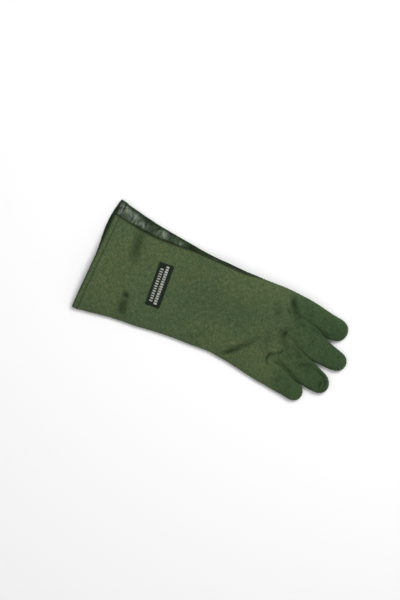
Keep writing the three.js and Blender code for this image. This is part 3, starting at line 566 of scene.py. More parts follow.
def noiseAt(points, scale, octaves=2, seed=0.0):
    shift = Vector((seed * 17.3, seed * 5.1, seed * 9.7))
    return np.array([noise.fractal(Vector(p) * scale + shift, 0.8, 2.1, octaves) for p in points])


def ridgesAt(points, stretch, scale, seed=0.0):  # sharp-bottomed creases of worn leather
    shift = Vector((seed * 11.1, seed * 3.7, seed * 7.9))
    scaled = points * np.array(stretch) * scale
    warp = [noise.noise(Vector(p) * 0.6 + shift) for p in scaled]
    return np.array([abs(noise.fractal(Vector(p) + shift + Vector((w, w, 0)) * 0.8, 0.9, 2.2, 3))
                     for p, w in zip(scaled, warp)])


# Relief of the sewn surface, lengths and depths in mm
reliefSizes = {"waveLength": 38, "softWave": 0.5, "cuffWave": 0.75, "rippleLength": 9, "clothRipple": 0.1,
               "ridgeLength": 8.5, "ridgeStretch": (1.25, 0.8, 0.8), "leatherCrease": 0.3,
               "dentLength": 16, "leatherDent": 0.9, "floorGap": 0.02}
seamSizes = {"clear": 2.2, "grooveWidth": 0.85, "grooveDepth": 0.55, "allowance": 0.3, "allowanceAt": 2.6,
             "allowanceWidth": 1.3, "pucker": 0.17, "puckerWidth": 4.2, "puckerLength": 5.3, "toneWidth": 1.6}
# The hem's last size is the strength of the painted shade along the cuff's very edge
hemSizes = {"seamAt": 6.5, "seamWidth": 0.8, "seamDepth": 0.42, "seamTone": 0.5, "rise": 0.5, "foldFrom": 8.6,
            "foldTo": 11.2, "pucker": 0.14, "puckerAt": 7.5, "puckerWidth": 6, "puckerLength": 8.7, "edgeTone": 0.8}
relief, seam, hem = [SimpleNamespace(**sizes) for sizes in (reliefSizes, seamSizes, hemSizes)]
normals = surfaceNormals(points, corners, crotchNormals)
x, y, z = points.T
upper = easeStep(topFrom, topTo, shares)
clearOfSeam = 1 - bell(seamAway, 0, seam.clear)
isPalm, isBack = np.zeros(len(points)), np.zeros(len(points))
isPalm[np.unique(corners[owners == palmPiece])] = 1
isBack[np.unique(corners[owners == backPiece])] = 1
leatherShare = isPalm * (1 - isBack) * clearOfSeam

creaseHeight, creaseShadeMask = creaseRelief(x, y)
waves = noiseAt(points, 1 / relief.waveLength, 2, 1.0)
waves *= mix(relief.softWave, relief.cuffWave, 1 - easeStep(40, 130, x))
ripples = noiseAt(points, 1 / relief.rippleLength, 2, 2.0) * relief.clothRipple
palmIds = np.flatnonzero(leatherShare > 0.01)
ridges, dents = np.zeros(len(points)), np.zeros(len(points))
ridges[palmIds] = ridgesAt(points[palmIds], relief.ridgeStretch, 1 / relief.ridgeLength, 3.0)
dents[palmIds] = noiseAt(points[palmIds], 1 / relief.dentLength, 2, 4.0)
atEdge = bell(shares, 0.36, 0.16) * (x < form.bodyLength)  # the rounded edge keeps a quiet outline
# Painted shade in the valleys of the leather's wrinkles
leatherCreaseShade = (1 - easeStep(0.02, 0.3, ridges)) * leatherShare

move = waves * mix(0.35, 1, upper) + ripples * (1 - leatherShare)
atRoot = (1 - clearOfSeam) * easeStep(255, 266, x)  # creases fade out where two fingers part
move += creaseHeight * upper * (1 - 0.3 * leatherShare) * (1 - atRoot)
worn = -relief.leatherCrease * (1 - easeStep(0.0, 0.35, ridges)) + relief.leatherDent * dents
move += leatherShare * worn * (1 - 0.8 * atEdge)
# The palm stays calm where the thumb leaves it
nearRoot = bell(x, form.thumbRoot + 17, 10) * bell(y, form.thumbOffset, 25) * (shares < 0.25)
move *= 1 - 0.85 * nearRoot
groove = bell(seamAway, 0, seam.grooveWidth) * np.clip(toneHere / 0.3, 0.3, 1)
roll = bell(seamAway, seam.allowanceAt, seam.allowanceWidth)
puckers = bell(seamAway, 0, seam.puckerWidth) * np.sin(
    seamPlace * 2 * np.pi / seam.puckerLength + 0.7 * np.sin(seamPlace / 9.1))
move += seam.allowance * roll - seam.grooveDepth * groove + seam.pucker * puckers * (1 - groove)
# The hem: cloth turned in once and stitched down
edgeAway = np.full(len(points), 1e3)
stationOf = np.repeat(stations, loopCount)
edgeAway[: len(stationOf)] = stationOf
hemLine = bell(edgeAway, hem.seamAt, hem.seamWidth)
hemPucker = bell(edgeAway, hem.puckerAt, hem.puckerWidth) * np.sin(
    y * 2 * np.pi / hem.puckerLength + 1.4 * np.sin(y / 11))
move += hem.rise * (1 - easeStep(hem.foldFrom, hem.foldTo, edgeAway)) - hem.seamDepth * hemLine
move += hem.pucker * hemPucker
shaped = points + normals * move[:, None]
shaped[:, 2] = np.maximum(shaped[:, 2], relief.floorGap)
normals = surfaceNormals(shaped, corners, crotchNormals)
# Painted shade in the cloth's colour: dark in creases and at the cuff's edge, and darker on the fingers
shade = np.clip(creaseShadeMask * upper, 0, 1)
# painted shade along the cuff's edge
shade = np.maximum(shade, hem.edgeTone * (1 - easeStep(0.2, 1.7, edgeAway)))
# Painted shade: the fingers darker than the hand, more so towards their tips
paintedFingerShade = easeStep(250, 290, x + 0.2 * y) * 0.75 + 0.25 * easeStep(300, 345, x)
paintedFingerShade *= 1 - 0.1 * bell(y, 14, 14) + 0.16 * bell(y, 50, 13)
paintedFingerShade = np.maximum(paintedFingerShade, 0.1 * easeStep(90, 170, x))
seamShade = toneHere * bell(seamAway, 0, seam.toneWidth) + hem.seamTone * hemLine
print("relief made")


# Materials
def colorOf(red, green, blue):
    return (red, green, blue, 1.0)


def newGroup(name, inputs, outputs):
    group = bpy.data.node_groups.new(name, "ShaderNodeTree")
    for label, kind, default in inputs:
        socket = group.interface.new_socket(name=label, in_out="INPUT", socket_type=kind)
        if default is not None:
            socket.default_value = default
    for label, kind in outputs:
        group.interface.new_socket(name=label, in_out="OUTPUT", socket_type=kind)
    group.nodes.new("NodeGroupInput")
    group.nodes.new("NodeGroupOutput")
    return group


def addNode(tree, kind, values=None, links=None, **settings):
    node = tree.nodes.new(kind)
    for key, value in settings.items():
        setattr(node, key, value)
    for key, value in (values or {}).items():
        node.inputs[key].default_value = value
    for key, source in (links or {}).items():
        tree.links.new(source, node.inputs[key])
    return node


def mathNode(tree, operation, a, b=None, clamp=False):  # a and b are numbers or sockets
    node = addNode(tree, "ShaderNodeMath", operation=operation, use_clamp=clamp)
    for i, v in enumerate((a, b)):
        if v is None:
            continue
        if isinstance(v, (int, float)):
            node.inputs[i].default_value = v
        else:
            tree.links.new(v, node.inputs[i])
    return node.outputs[0]


def rampNode(tree, factor, stops):
    node = addNode(tree, "ShaderNodeValToRGB", links={"Fac": factor})
    ramp = node.color_ramp
    while len(ramp.elements) < len(stops):
        ramp.elements.new(0.5)
    for element, (at, color) in zip(ramp.elements, stops):
        element.position, element.color = at, color
    return node.outputs["Color"]


def mixColor(tree, factor, a, b, blend="MIX"):
    node = addNode(tree, "ShaderNodeMix", data_type="RGBA", blend_type=blend)
    for key, v in ((0, factor), (6, a), (7, b)):
        if isinstance(v, bpy.types.NodeSocket):
            tree.links.new(v, node.inputs[key])
        else:
            node.inputs[key].default_value = v
    return node.outputs[2]


def markNode(tree, name):  # one of the marks that each point of a piece carries
    return addNode(tree, "ShaderNodeAttribute", attribute_name=name).outputs["Fac"]


def groupEnds(group):
    return group.nodes["Group Input"].outputs, group.nodes["Group Output"].inputs


# Cloth weave: two sets of threads that pass over and under, on the piece's own UV
weaveGroup = newGroup("clothWeave", [("Vector", "NodeSocketVector", None), ("Pitch", "NodeSocketFloat", 0.0007),
                                     ("Irregular", "NodeSocketFloat", 0.00025)],
                      [("Height", "NodeSocketFloat"), ("Thread", "NodeSocketFloat")])
gin, gout = groupEnds(weaveGroup)
drift = addNode(weaveGroup, "ShaderNodeTexNoise", {"Scale": 900.0, "Detail": 1.0}, {"Vector": gin["Vector"]})
centred = addNode(weaveGroup, "ShaderNodeVectorMath", {1: (0.5, 0.5, 0.5)}, {0: drift.outputs["Color"]},
                  operation="SUBTRACT")
drifted = addNode(weaveGroup, "ShaderNodeVectorMath", None, {0: centred.outputs[0]}, operation="SCALE")
weaveGroup.links.new(gin["Irregular"], drifted.inputs["Scale"])
moved = addNode(weaveGroup, "ShaderNodeVectorMath", None, {0: gin["Vector"], 1: drifted.outputs[0]}, operation="ADD")
axes = addNode(weaveGroup, "ShaderNodeSeparateXYZ", None, {0: moved.outputs[0]})
threadTurns = mathNode(weaveGroup, "DIVIDE", math.pi, gin["Pitch"])
threadSets = [mathNode(weaveGroup, "SINE", mathNode(weaveGroup, "MULTIPLY", axes.outputs[axis], threadTurns))
              for axis in ("X", "Y")]
checker = mathNode(weaveGroup, "MULTIPLY", *threadSets)
ridge = mathNode(weaveGroup, "ADD", *[mathNode(weaveGroup, "ABSOLUTE", threads) for threads in threadSets])
weaveHeight = mathNode(weaveGroup, "ADD", mathNode(weaveGroup, "MULTIPLY", ridge, 0.35),
                       mathNode(weaveGroup, "MULTIPLY", checker, 0.3))
weaveGroup.links.new(weaveHeight, gout["Height"])
weaveGroup.links.new(mathNode(weaveGroup, "MULTIPLY", ridge, 0.5), gout["Thread"])

# Heathered yarn: streaks that follow both sets of threads
yarnGroup = newGroup("yarnStreaks", [("Vector", "NodeSocketVector", None), ("Scale", "NodeSocketFloat", 900.0)],
                     [("Streaks", "NodeSocketFloat")])
gin, gout = groupEnds(yarnGroup)
streaks = []
for squeeze in ((0.22, 1.0, 1.0), (1.0, 0.22, 1.0)):
    stretched = addNode(yarnGroup, "ShaderNodeVectorMath", {1: squeeze}, {0: gin["Vector"]}, operation="MULTIPLY")
    streaks.append(addNode(yarnGroup, "ShaderNodeTexNoise", {"Detail": 2.5, "Roughness": 0.6},
                           {"Vector": stretched.outputs[0], "Scale": gin["Scale"]}).outputs["Fac"])
yarnGroup.links.new(mathNode(yarnGroup, "MULTIPLY", mathNode(yarnGroup, "ADD", *streaks), 0.5), gout["Streaks"])

# Flecks, patches and wide tone changes of dyed cloth or leather
mottleGroup = newGroup("dyeMottle",
                       [("Vector", "NodeSocketVector", None), ("Fleck scale", "NodeSocketFloat", 700.0),
                        ("Patch scale", "NodeSocketFloat", 75.0), ("Wide scale", "NodeSocketFloat", 16.0)],
                       [("Flecks", "NodeSocketFloat"), ("Patches", "NodeSocketFloat"), ("Wide", "NodeSocketFloat")])
gin, gout = groupEnds(mottleGroup)
mottleNoises = {"Flecks": ("Fleck scale", 3.0), "Patches": ("Patch scale", 3.0), "Wide": ("Wide scale", 2.0)}
for label, (source, detail) in mottleNoises.items():
    dye = addNode(mottleGroup, "ShaderNodeTexNoise", {"Detail": detail, "Roughness": 0.6},
                  {"Vector": gin["Vector"], "Scale": gin[source]})
    mottleGroup.links.new(dye.outputs["Fac"], gout[label])

# Leather: pebbled grain and fine wrinkles
grainGroup = newGroup("leatherGrain",
                      [("Vector", "NodeSocketVector", None), ("Pebble scale", "NodeSocketFloat", 820.0),
                       ("Wrinkle scale", "NodeSocketFloat", 190.0)],
                      [("Height", "NodeSocketFloat"), ("Crevice", "NodeSocketFloat"), ("Wrinkle", "NodeSocketFloat")])
gin, gout = groupEnds(grainGroup)
warp = addNode(grainGroup, "ShaderNodeTexNoise", {"Scale": 260.0, "Detail": 2.0}, {"Vector": gin["Vector"]})
warpScaled = addNode(grainGroup, "ShaderNodeVectorMath", {"Scale": 0.0018}, {0: warp.outputs["Color"]},
                     operation="SCALE")
warped = addNode(grainGroup, "ShaderNodeVectorMath", None, {0: gin["Vector"], 1: warpScaled.outputs[0]},
                 operation="ADD")
grainHeights = []
for source, steep, share, label in (("Pebble scale", 3.2, 0.3, "Crevice"), ("Wrinkle scale", 4.5, 0.9, "Wrinkle")):
    cells = addNode(grainGroup, "ShaderNodeTexVoronoi", None, {"Vector": warped.outputs[0], "Scale": gin[source]},
                    feature="DISTANCE_TO_EDGE")
    bump = mathNode(grainGroup, "MULTIPLY", cells.outputs["Distance"], steep, clamp=True)
    grainHeights.append(mathNode(grainGroup, "MULTIPLY", bump, share))
    grainGroup.links.new(mathNode(grainGroup, "SUBTRACT", 1.0, bump), gout[label])
grainGroup.links.new(mathNode(grainGroup, "ADD", *grainHeights), gout["Height"])
print("node groups made")


def newMaterial(name, base, **settings):
    material = bpy.data.materials.new(name)
    material.use_nodes = True
    material.diffuse_color = base
    shader = material.node_tree.nodes["Principled BSDF"]
    for key, value in settings.items():
        shader.inputs[key].default_value = value
    return material, material.node_tree, shader


def placeGroup(tree, group, links, values=None):
    return addNode(tree, "ShaderNodeGroup", node_tree=group, links=links, values=values)


def clothMaterial(name, look):
    material, tree, shader = newMaterial(name, look["base"], **{
        "Sheen Weight": look["sheen"], "Sheen Roughness": 0.55, "Specular IOR Level": 0.25,
        "Sheen Tint": look["sheenTint"]})
    uv = addNode(tree, "ShaderNodeUVMap", uv_map="UVMap").outputs[0]
    spot = addNode(tree, "ShaderNodeTexCoord").outputs["Object"]
    weave = placeGroup(tree, weaveGroup, {"Vector": uv}, {"Pitch": look["pitch"], "Irregular": look["irregular"]})
    mottle = placeGroup(tree, mottleGroup, {"Vector": spot}, {"Fleck scale": look["tintScale"]})
    yarn = placeGroup(tree, yarnGroup, {"Vector": uv}, {"Scale": look["yarnScale"]})
    patches = [(0.36, look["shade"]), (0.5, look["base"]), (0.64, look["light"])]
    streaks = [(0.39, look["cool"]), (0.5, look["base"]), (0.61, look["warm"])]
    color = mixColor(tree, look["fleck"], rampNode(tree, mottle.outputs["Patches"], patches),
                     rampNode(tree, yarn.outputs["Streaks"], streaks))
    for source, share, ends in ((mottle.outputs["Wide"], 1.0, look["wide"]),
                                (mottle.outputs["Flecks"], 1.0, look["tint"]),
                                (weave.outputs["Thread"], 0.7, look["thread"])):
        color = mixColor(tree, share, color, rampNode(tree, source, ends), "MULTIPLY")
    color = mixColor(tree, mathNode(tree, "MULTIPLY", markNode(tree, "seamNear"), look["seamDark"], True), color,
                     look["deep"])
    # Painted shade where the tone mark is high, as on the fingers
    color = mixColor(tree, markNode(tree, "tone"), color, look["paintedLightAndWear"], "MULTIPLY")
    # Painted shade: towards the deep colour where the crease mark is high, in creases, at the cuff's edge and inside
    # the mouth
    color = mixColor(tree, mathNode(tree, "MULTIPLY", markNode(tree, "crease"), look["paintedShadeStrength"], True), color,
                     look["deep"])
    tree.links.new(color, shader.inputs["Base Color"])
    rough = mathNode(tree, "ADD", mathNode(tree, "MULTIPLY", mottle.outputs["Patches"], 0.14), look["rough"])
    tree.links.new(rough, shader.inputs["Roughness"])
    fuzz = addNode(tree, "ShaderNodeTexNoise", {"Scale": 1500.0, "Detail": 3.0}, {"Vector": spot}).outputs["Fac"]
    heights = mathNode(tree, "ADD", weave.outputs["Height"], mathNode(tree, "MULTIPLY", fuzz, 0.55))
    bump = addNode(tree, "ShaderNodeBump", {"Strength": look["bump"], "Distance": 0.0003}, {"Height": heights})
    soft = addNode(tree, "ShaderNodeBump", {"Strength": 0.35, "Distance": 0.0012},
                   {"Height": mottle.outputs["Patches"], "Normal": bump.outputs[0]})
    tree.links.new(soft.outputs[0], shader.inputs["Normal"])
    return material


def leatherMaterial(name, look):
    material, tree, shader = newMaterial(name, look["base"], **{
        "Specular IOR Level": 0.12, "Coat Roughness": 0.3})
    spot = addNode(tree, "ShaderNodeTexCoord").outputs["Object"]
    grain = placeGroup(tree, grainGroup, {"Vector": spot}, {"Pebble scale": look["pebble"]})
    mottle = placeGroup(tree, mottleGroup, {"Vector": spot}, {"Fleck scale": 420.0, "Patch scale": 95.0})
    creased, paintedLightAndWear = markNode(tree, "crease"), markNode(tree, "tone")
    color = rampNode(tree, mottle.outputs["Patches"], [(0.4, look["dark"]), (0.52, look["base"])])
    # Lighter scuffed patches where the tone mark is high, partly worn leather and partly painted highlight
    rubbedAndHighlit = rampNode(tree, mottle.outputs["Patches"], [(0.42, colorOf(0, 0, 0)), (0.62, colorOf(1, 1, 1))])
    wearAndHighlight = mathNode(tree, "MULTIPLY", rubbedAndHighlit, mathNode(tree, "POWER", paintedLightAndWear, 3.0), True)
    color = mixColor(tree, wearAndHighlight, color, look["worn"])
    # Darker in grain crevices, wrinkles and seams, and by painted shade where the crease mark is high
    for mask, strength in ((grain.outputs["Crevice"], look["creviceDark"]),
                           (grain.outputs["Wrinkle"], look["wrinkleDark"]), (creased, look["paintedShadeStrength"]),
                           (markNode(tree, "seamNear"), look["seamDark"])):
        color = mixColor(tree, mathNode(tree, "MULTIPLY", mask, strength, True), color, look["dark"])
    tree.links.new(color, shader.inputs["Base Color"])
    rough = mathNode(tree, "ADD", mathNode(tree, "MULTIPLY", mottle.outputs["Flecks"], 0.22), look["rough"])
    rough = mathNode(tree, "SUBTRACT", rough, mathNode(tree, "MULTIPLY", paintedLightAndWear, look["polish"]))
    tree.links.new(mathNode(tree, "MULTIPLY", paintedLightAndWear, look["gloss"], True), shader.inputs["Coat Weight"])
    rough = mathNode(tree, "ADD", rough, mathNode(tree, "MULTIPLY", creased, 0.2))
    tree.links.new(rough, shader.inputs["Roughness"])
    bump = addNode(tree, "ShaderNodeBump", {"Strength": look["bump"], "Distance": 0.00045},
                   {"Height": grain.outputs["Height"]})
    soft = addNode(tree, "ShaderNodeBump", {"Strength": 0.5, "Distance": 0.0016},
                   {"Height": mottle.outputs["Patches"], "Normal": bump.outputs[0]})
    tree.links.new(soft.outputs[0], shader.inputs["Normal"])
    return material


def threadMaterial(name, base, dark):
    material, tree, shader = newMaterial(name, base, **{"Sheen Weight": 0.08, "Specular IOR Level": 0.25})
    spot = addNode(tree, "ShaderNodeTexCoord").outputs["Object"]
    mottle = placeGroup(tree, mottleGroup, {"Vector": spot}, {"Fleck scale": 1400.0, "Patch scale": 240.0})
    tone = rampNode(tree, mottle.outputs["Patches"], [(0.35, dark), (0.6, base)])
    tree.links.new(tone, shader.inputs["Base Color"])
    rough = mathNode(tree, "ADD", mathNode(tree, "MULTIPLY", mottle.outputs["Flecks"], 0.3), 0.5)
    tree.links.new(rough, shader.inputs["Roughness"])
    twist = addNode(tree, "ShaderNodeTexWave", {"Scale": 1200.0, "Distortion": 2.0}, {"Vector": spot}).outputs["Fac"]
    bump = addNode(tree, "ShaderNodeBump", {"Strength": 0.5, "Distance": 0.0001}, {"Height": twist})
    tree.links.new(bump.outputs[0], shader.inputs["Normal"])
    return material


# deep is the colour of the dark seams and of the painted shade in creases
fabricLook = {"base": colorOf(0.0572, 0.086, 0.0335), "light": colorOf(0.0675, 0.094, 0.039),
              "shade": colorOf(0.045, 0.077, 0.034),
              "cool": colorOf(0.0205, 0.048, 0.011), "warm": colorOf(0.108, 0.135, 0.064),
              "deep": colorOf(0.005, 0.018, 0.002), "paintedShadeStrength": 0.9, "paintedLightAndWear": colorOf(0.46, 0.64, 0.52),
              "sheen": 0.18, "sheenTint": colorOf(0.5, 0.7, 0.4),
              "yarnScale": 700.0, "fleck": 0.64, "tintScale": 330.0,
              "wide": [(0.38, colorOf(0.90, 0.955, 0.98)), (0.62, colorOf(1.08, 1.04, 1.0))],
              "tint": [(0.38, colorOf(1.08, 0.985, 0.88)), (0.62, colorOf(0.92, 1.015, 1.12))],
              "thread": [(0.1, colorOf(0.72, 0.72, 0.72)), (0.8, colorOf(1.08, 1.08, 1.08))],
              "pitch": 0.00075, "irregular": 0.0003, "seamDark": 0.7, "rough": 0.8, "bump": 0.75}
insideLook = dict(fabricLook, base=colorOf(0.048, 0.068, 0.030), fleck=0.35, bump=0.5)
# worn is the lighter colour of scuffed leather, which also stands in for painted highlights
leatherLook = {"base": colorOf(0.013, 0.034, 0.006), "dark": colorOf(0.004, 0.015, 0.001),
               "worn": colorOf(0.090, 0.138, 0.066), "creviceDark": 0.4, "wrinkleDark": 0.45, "paintedShadeStrength": 0.75,
               "seamDark": 0.5, "pebble": 820.0, "rough": 0.42, "polish": 0.2, "gloss": 0.42, "bump": 0.3}
suedeLook = dict(leatherLook, base=colorOf(0.05, 0.06, 0.04), dark=colorOf(0.03, 0.037, 0.024),
                 worn=colorOf(0.07, 0.078, 0.055), rough=0.75, polish=0.0, gloss=0.0, bump=0.35)
labelLook = dict(fabricLook, base=colorOf(0.006, 0.0115, 0.0065), light=colorOf(0.009, 0.016, 0.009),
                 shade=colorOf(0.0045, 0.009, 0.005), cool=colorOf(0.004, 0.009, 0.005),
                 warm=colorOf(0.011, 0.017, 0.010), sheen=0.02, pitch=0.0005, irregular=0.0001, bump=0.6, rough=0.8)
fabric = clothMaterial("oliveCloth", fabricLook)
fabricInside = clothMaterial("oliveClothInside", insideLook)
leather = leatherMaterial("blackGreenLeather", leatherLook)
suede = leatherMaterial("leatherFleshSide", suedeLook)
labelCloth = clothMaterial("blackWovenLabel", labelLook)
brownThread = threadMaterial("brownThread", colorOf(0.042, 0.029, 0.011), colorOf(0.015, 0.012, 0.005))
oliveThread = threadMaterial("oliveThread", colorOf(0.034, 0.044, 0.016), colorOf(0.016, 0.024, 0.009))
blackThread = threadMaterial("blackThread", colorOf(0.018, 0.022, 0.018), colorOf(0.008, 0.01, 0.008))
greyThread = threadMaterial("greyThread", colorOf(0.44, 0.45, 0.40), colorOf(0.26, 0.27, 0.23))
print("materials made")

# From the glove's own mm to the row's metres
shiftX = cadBox[1][0] - (form.bodyLength + fingers["middle"]) / 1000
shiftY = 0.00054


def toRow(points):
    return np.asarray(points) / 1000 + np.array([shiftX, shiftY, 0.0])


sharpFrom = math.radians(58)  # edges steeper than this are shaded sharp


def makeObject(name, vertices, faces, materials, loopUvs=None, attributes=None, faceMaterials=None):
    mesh = bpy.data.meshes.new(name)
    mesh.from_pydata([tuple(map(float, v)) for v in vertices], [], faces)
    if loopUvs is not None:
        layer = mesh.uv_layers.new(name="UVMap")
        layer.data.foreach_set("uv", np.asarray(loopUvs, np.float32).ravel())
    for key, values in (attributes or {}).items():
        attribute = mesh.attributes.new(key, "FLOAT", "POINT")
        attribute.data.foreach_set("value", np.asarray(values, np.float32))
    for material in materials:
        mesh.materials.append(material)
    if faceMaterials is not None:
        mesh.polygons.foreach_set("material_index", np.asarray(faceMaterials, np.int32))
    mesh.polygons.foreach_set("use_smooth", np.full(len(mesh.polygons), True))
    mesh.update()
    mesh.set_sharp_from_angle(angle=sharpFrom)
    piece = bpy.data.objects.new(name, mesh)
    bpy.context.scene.collection.objects.link(piece)
    return piece


def faceEdges(faces):  # each face's edges in its own direction; a triangle's last two corners are one point
    isTip = faces[:, 2] == faces[:, 3]
    quads, triangles = faces[~isTip], faces[isTip]
    return np.concatenate([quads[:, [i, (i + 1) % 4]] for i in range(4)]
                          + [triangles[:, [i, (i + 1) % 3]] for i in range(3)])


def edgeKeys(edges, count):
    return edges[:, 0].astype(np.int64) * count + edges[:, 1]


outerLook, innerLook, hemLook = 0, 1, 2  # a wall's materials, in their order


# A closed wall below the given faces: square where it is sewn to another piece, and rounded at a free edge
def wallPiece(name, points, normals, corners, uvs, allCorners, wallAt, marks, materials, roundEdge=0.4,
              innerShade=0.0):
    count = len(points)
    own = faceEdges(corners)
    rim = own[~np.isin(edgeKeys(own[:, ::-1], count), edgeKeys(own, count))]
    sewnTo = np.isin(edgeKeys(rim[:, ::-1], count), edgeKeys(faceEdges(allCorners), count))
    run = unit(points[rim[:, 1]] - points[rim[:, 0]])
    drawn, outward = np.zeros_like(points), np.zeros_like(points)
    for end in (0, 1):
        inward = np.cross(normals[rim[:, end]], run)
        np.add.at(drawn, rim[sewnTo, end], inward[sewnTo])
        np.add.at(outward, rim[~sewnTo, end], -inward[~sewnTo])
    outer = points + unit(drawn, 1e-6) * form.seamDraw
    wall = wallAt(points)[:, None]
    inner = outer - normals * wall
    middle = (outer + inner) / 2 + unit(outward) * wall * roundEdge
    used, freeIds = np.unique(corners), np.unique(rim[~sewnTo])
    n = len(used)
    local = np.full(count, -1)
    local[used] = np.arange(n)
    middleOf = {int(v): 2 * n + i for i, v in enumerate(freeIds)}
    vertices = np.concatenate([outer[used], inner[used], middle[freeIds]])
    vertices[:, 2] = np.maximum(vertices[:, 2], relief.floorGap)  # none dips into the floor
    uvOf = np.zeros((count, 2))
    uvOf[corners.ravel()] = uvs.reshape(-1, 2)
    faces, loopUvs, looks = [], [], []
    for face, uv in zip(local[corners].tolist(), uvs):
        size = 3 if face[2] == face[3] else 4
        faces.append(tuple(face[:size]))
        loopUvs.append(uv[:size])
        looks.append(outerLook)
        faces.append(tuple(v + n for v in face[:size][::-1]))
        loopUvs.append(uv[:size][::-1])
        turnedIn = len(materials) > hemLook and uv[:, 0].mean() < form.hemWidth + 0.6
        looks.append(hemLook if turnedIn else innerLook)
    for (a, b), joined in zip(rim.tolist(), sewnTo):
        localA, localB = int(local[a]), int(local[b])
        between = [] if joined else [(middleOf[b], middleOf[a])]
        rings = [(localB, localA)] + between + [(localB + n, localA + n)]
        for (b0, a0), (b1, a1) in zip(rings, rings[1:]):
            faces.append((b0, a0, a1, b1))
            loopUvs.append(np.array([uvOf[b], uvOf[a], uvOf[a], uvOf[b]]))
            looks.append(innerLook if joined else outerLook)
    attributes = {}
    for key, values in marks.items():
        # inner faces take at least the painted shade of the mouth
        inside = np.maximum(values, innerShade) if key == "crease" else values
        attributes[key] = np.concatenate([values[used], inside[used], inside[freeIds]])
    return makeObject(name, toRow(vertices), faces, materials, np.concatenate(loopUvs) / 1000, attributes, looks)


def finishPiece(piece, slotName, *nodes):
    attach(piece, "root")
    if nodes:
        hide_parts(*nodes)
    return piece


def hemmedWall(wall):
    return lambda p: wall * np.where(p[:, 0] < form.hemWidth + 0.5, form.hemLayers, 1.0)


# The thumb: a tube of rows and columns, in which each column starts where it leaves the palm
frontSide, backSide = 0, 1
thumbSeat = {"frontClear": 0.15, "backClear": 0.95, "frontLap": 1.3, "backLap": 0.2, "tipPart": 0.36,
             "crease": 0.5, "wave": 0.25, "waveLength": 20, "calm": 12, "allowance": 0.25, "groove": 0.5,
             "pucker": 0.14, "toneWidth": 1.5, "tone": 0.3}
seat = SimpleNamespace(**thumbSeat)


def thumbMiddle(at):
    return form.thumbOffset + along(thumbSections, at, "aside") * form.thumbWidth


def palmUnder(x, y):
    shape = bodyShape(x)
    half = shape.width / 2
    out = np.clip(np.abs(y - shape.middle) / half, 0, 1)
    flat = 1 - form.edgeCurl / half
    curl = np.clip((out - flat) / (1 - flat), 0, 1)
    base = form.edgeHeight * (1 - np.sqrt(np.maximum(0, 1 - curl**2)))
    return base + lifted(x, y, base / shape.height)


def thumbPoint(at, tipRound, arcShare, kind):  # one ring of the thumb
    half = float(along(thumbSections, at, "width")) * form.thumbWidth * tipRound / 2
    height = float(along(thumbSections, at, "height")) * form.thumbHeight * tipThickness(tipRound)
    loop = sectionLoop(half, height, 2.6)
    under = form.sideSeamUnder * tipRound
    arc = np.where(kind == frontSide, mix(-under, loop.top + under, arcShare),
                   mix(loop.top + under, loop.total - under, arcShare))
    py, pz = onLoop(loop, arc)[:2]
    x = np.full(len(arc), form.thumbRoot + form.thumbLength * at)
    return np.stack([x, float(thumbMiddle(at)) + py, pz], axis=1), arc


thumbKind = np.repeat([frontSide, backSide], fine.thumbColumns)
thumbShare = np.tile(np.arange(fine.thumbColumns) / fine.thumbColumns, 2)
probeAt = np.linspace(0.02, 0.5, 160)
probes = [thumbPoint(at, 1.0, thumbShare, thumbKind)[0] for at in probeAt]
clear = np.array([palmUnder(p[:, 0], p[:, 1]) - p[:, 2] for p in probes])
# The cloth side laps onto the leather with its own thickness
needed = np.where(thumbKind == frontSide, seat.frontClear, seat.backClear)
starts = np.array([probeAt[np.argmax(clear[:, j] > needed[j])] for j in range(clear.shape[1])])
for _ in range(16):
    starts = (np.roll(starts, 1) + starts * 2 + np.roll(starts, -1)) / 4
starts -= np.where(thumbKind == frontSide, seat.frontLap, seat.backLap) / form.thumbLength
tipSpan = form.thumbWidth * seat.tipPart / form.thumbLength
tableAt, tableRound = ringTable(0, fine.thumbRows, tipSpan)
fullRings = [thumbPoint(at, r, thumbShare, thumbKind) for at, r in zip(tableAt, tableRound)]
fullPoints = np.array([r[0] for r in fullRings])
fullArcs = np.array([r[1] for r in fullRings])
thumbPoints, thumbArcs = np.empty_like(fullPoints), np.empty_like(fullArcs)
for j in range(fullPoints.shape[1]):  # each column is stretched to begin at its own start
    at = starts[j] + (1 - starts[j]) * (tableAt - tableAt[0]) / (1 - tableAt[0])
    blended = mix(at, tableAt, easeStep(0.3, 1 - tipSpan, tableAt))
    at = np.where(tableAt > 1 - tipSpan, tableAt, np.minimum(at, blended))
    for i in range(3):
        thumbPoints[:, j, i] = np.interp(at, tableAt, fullPoints[:, j, i])
    thumbArcs[:, j] = np.interp(at, tableAt, fullArcs[:, j])
tipId = thumbArcs.size
thumbIds = np.arange(tipId).reshape(thumbArcs.shape)
tipPoint = [[thumbTip, float(thumbMiddle(1.0)), form.edgeHeight * 0.8]]
thumbFlat = np.concatenate([thumbPoints.reshape(-1, 3), tipPoint])
loopedIds = np.concatenate([thumbIds, thumbIds[:, :1]], axis=1)
thumbU = np.concatenate([thumbPoints[:, :, 0], thumbPoints[:, :1, 0]], axis=1)
thumbV = np.concatenate([thumbArcs, thumbArcs[:, -1:] + 0.8], axis=1)
lastU, lastV = thumbU[-1], thumbV[-1]
fanU = np.stack([lastU[:-1], lastU[1:], lastU[:-1] + 1, lastU[:-1] + 1], axis=-1)
fanV = np.stack([lastV[:-1], lastV[1:], lastV[:-1], lastV[:-1]], axis=-1)
thumbCorners = np.concatenate([cornersOf(loopedIds), tipFan(loopedIds[-1], tipId)])
thumbUvs = np.concatenate([np.stack([cornersOf(thumbU), cornersOf(thumbV)], axis=-1), np.stack([fanU, fanV], axis=-1)])
thumbOwner = np.tile(thumbKind, len(thumbIds))  # each row's faces, and the tip's
thumbNormals = surfaceNormals(thumbFlat, thumbCorners)
sideA = np.concatenate([thumbIds[:, 0], [tipId]])
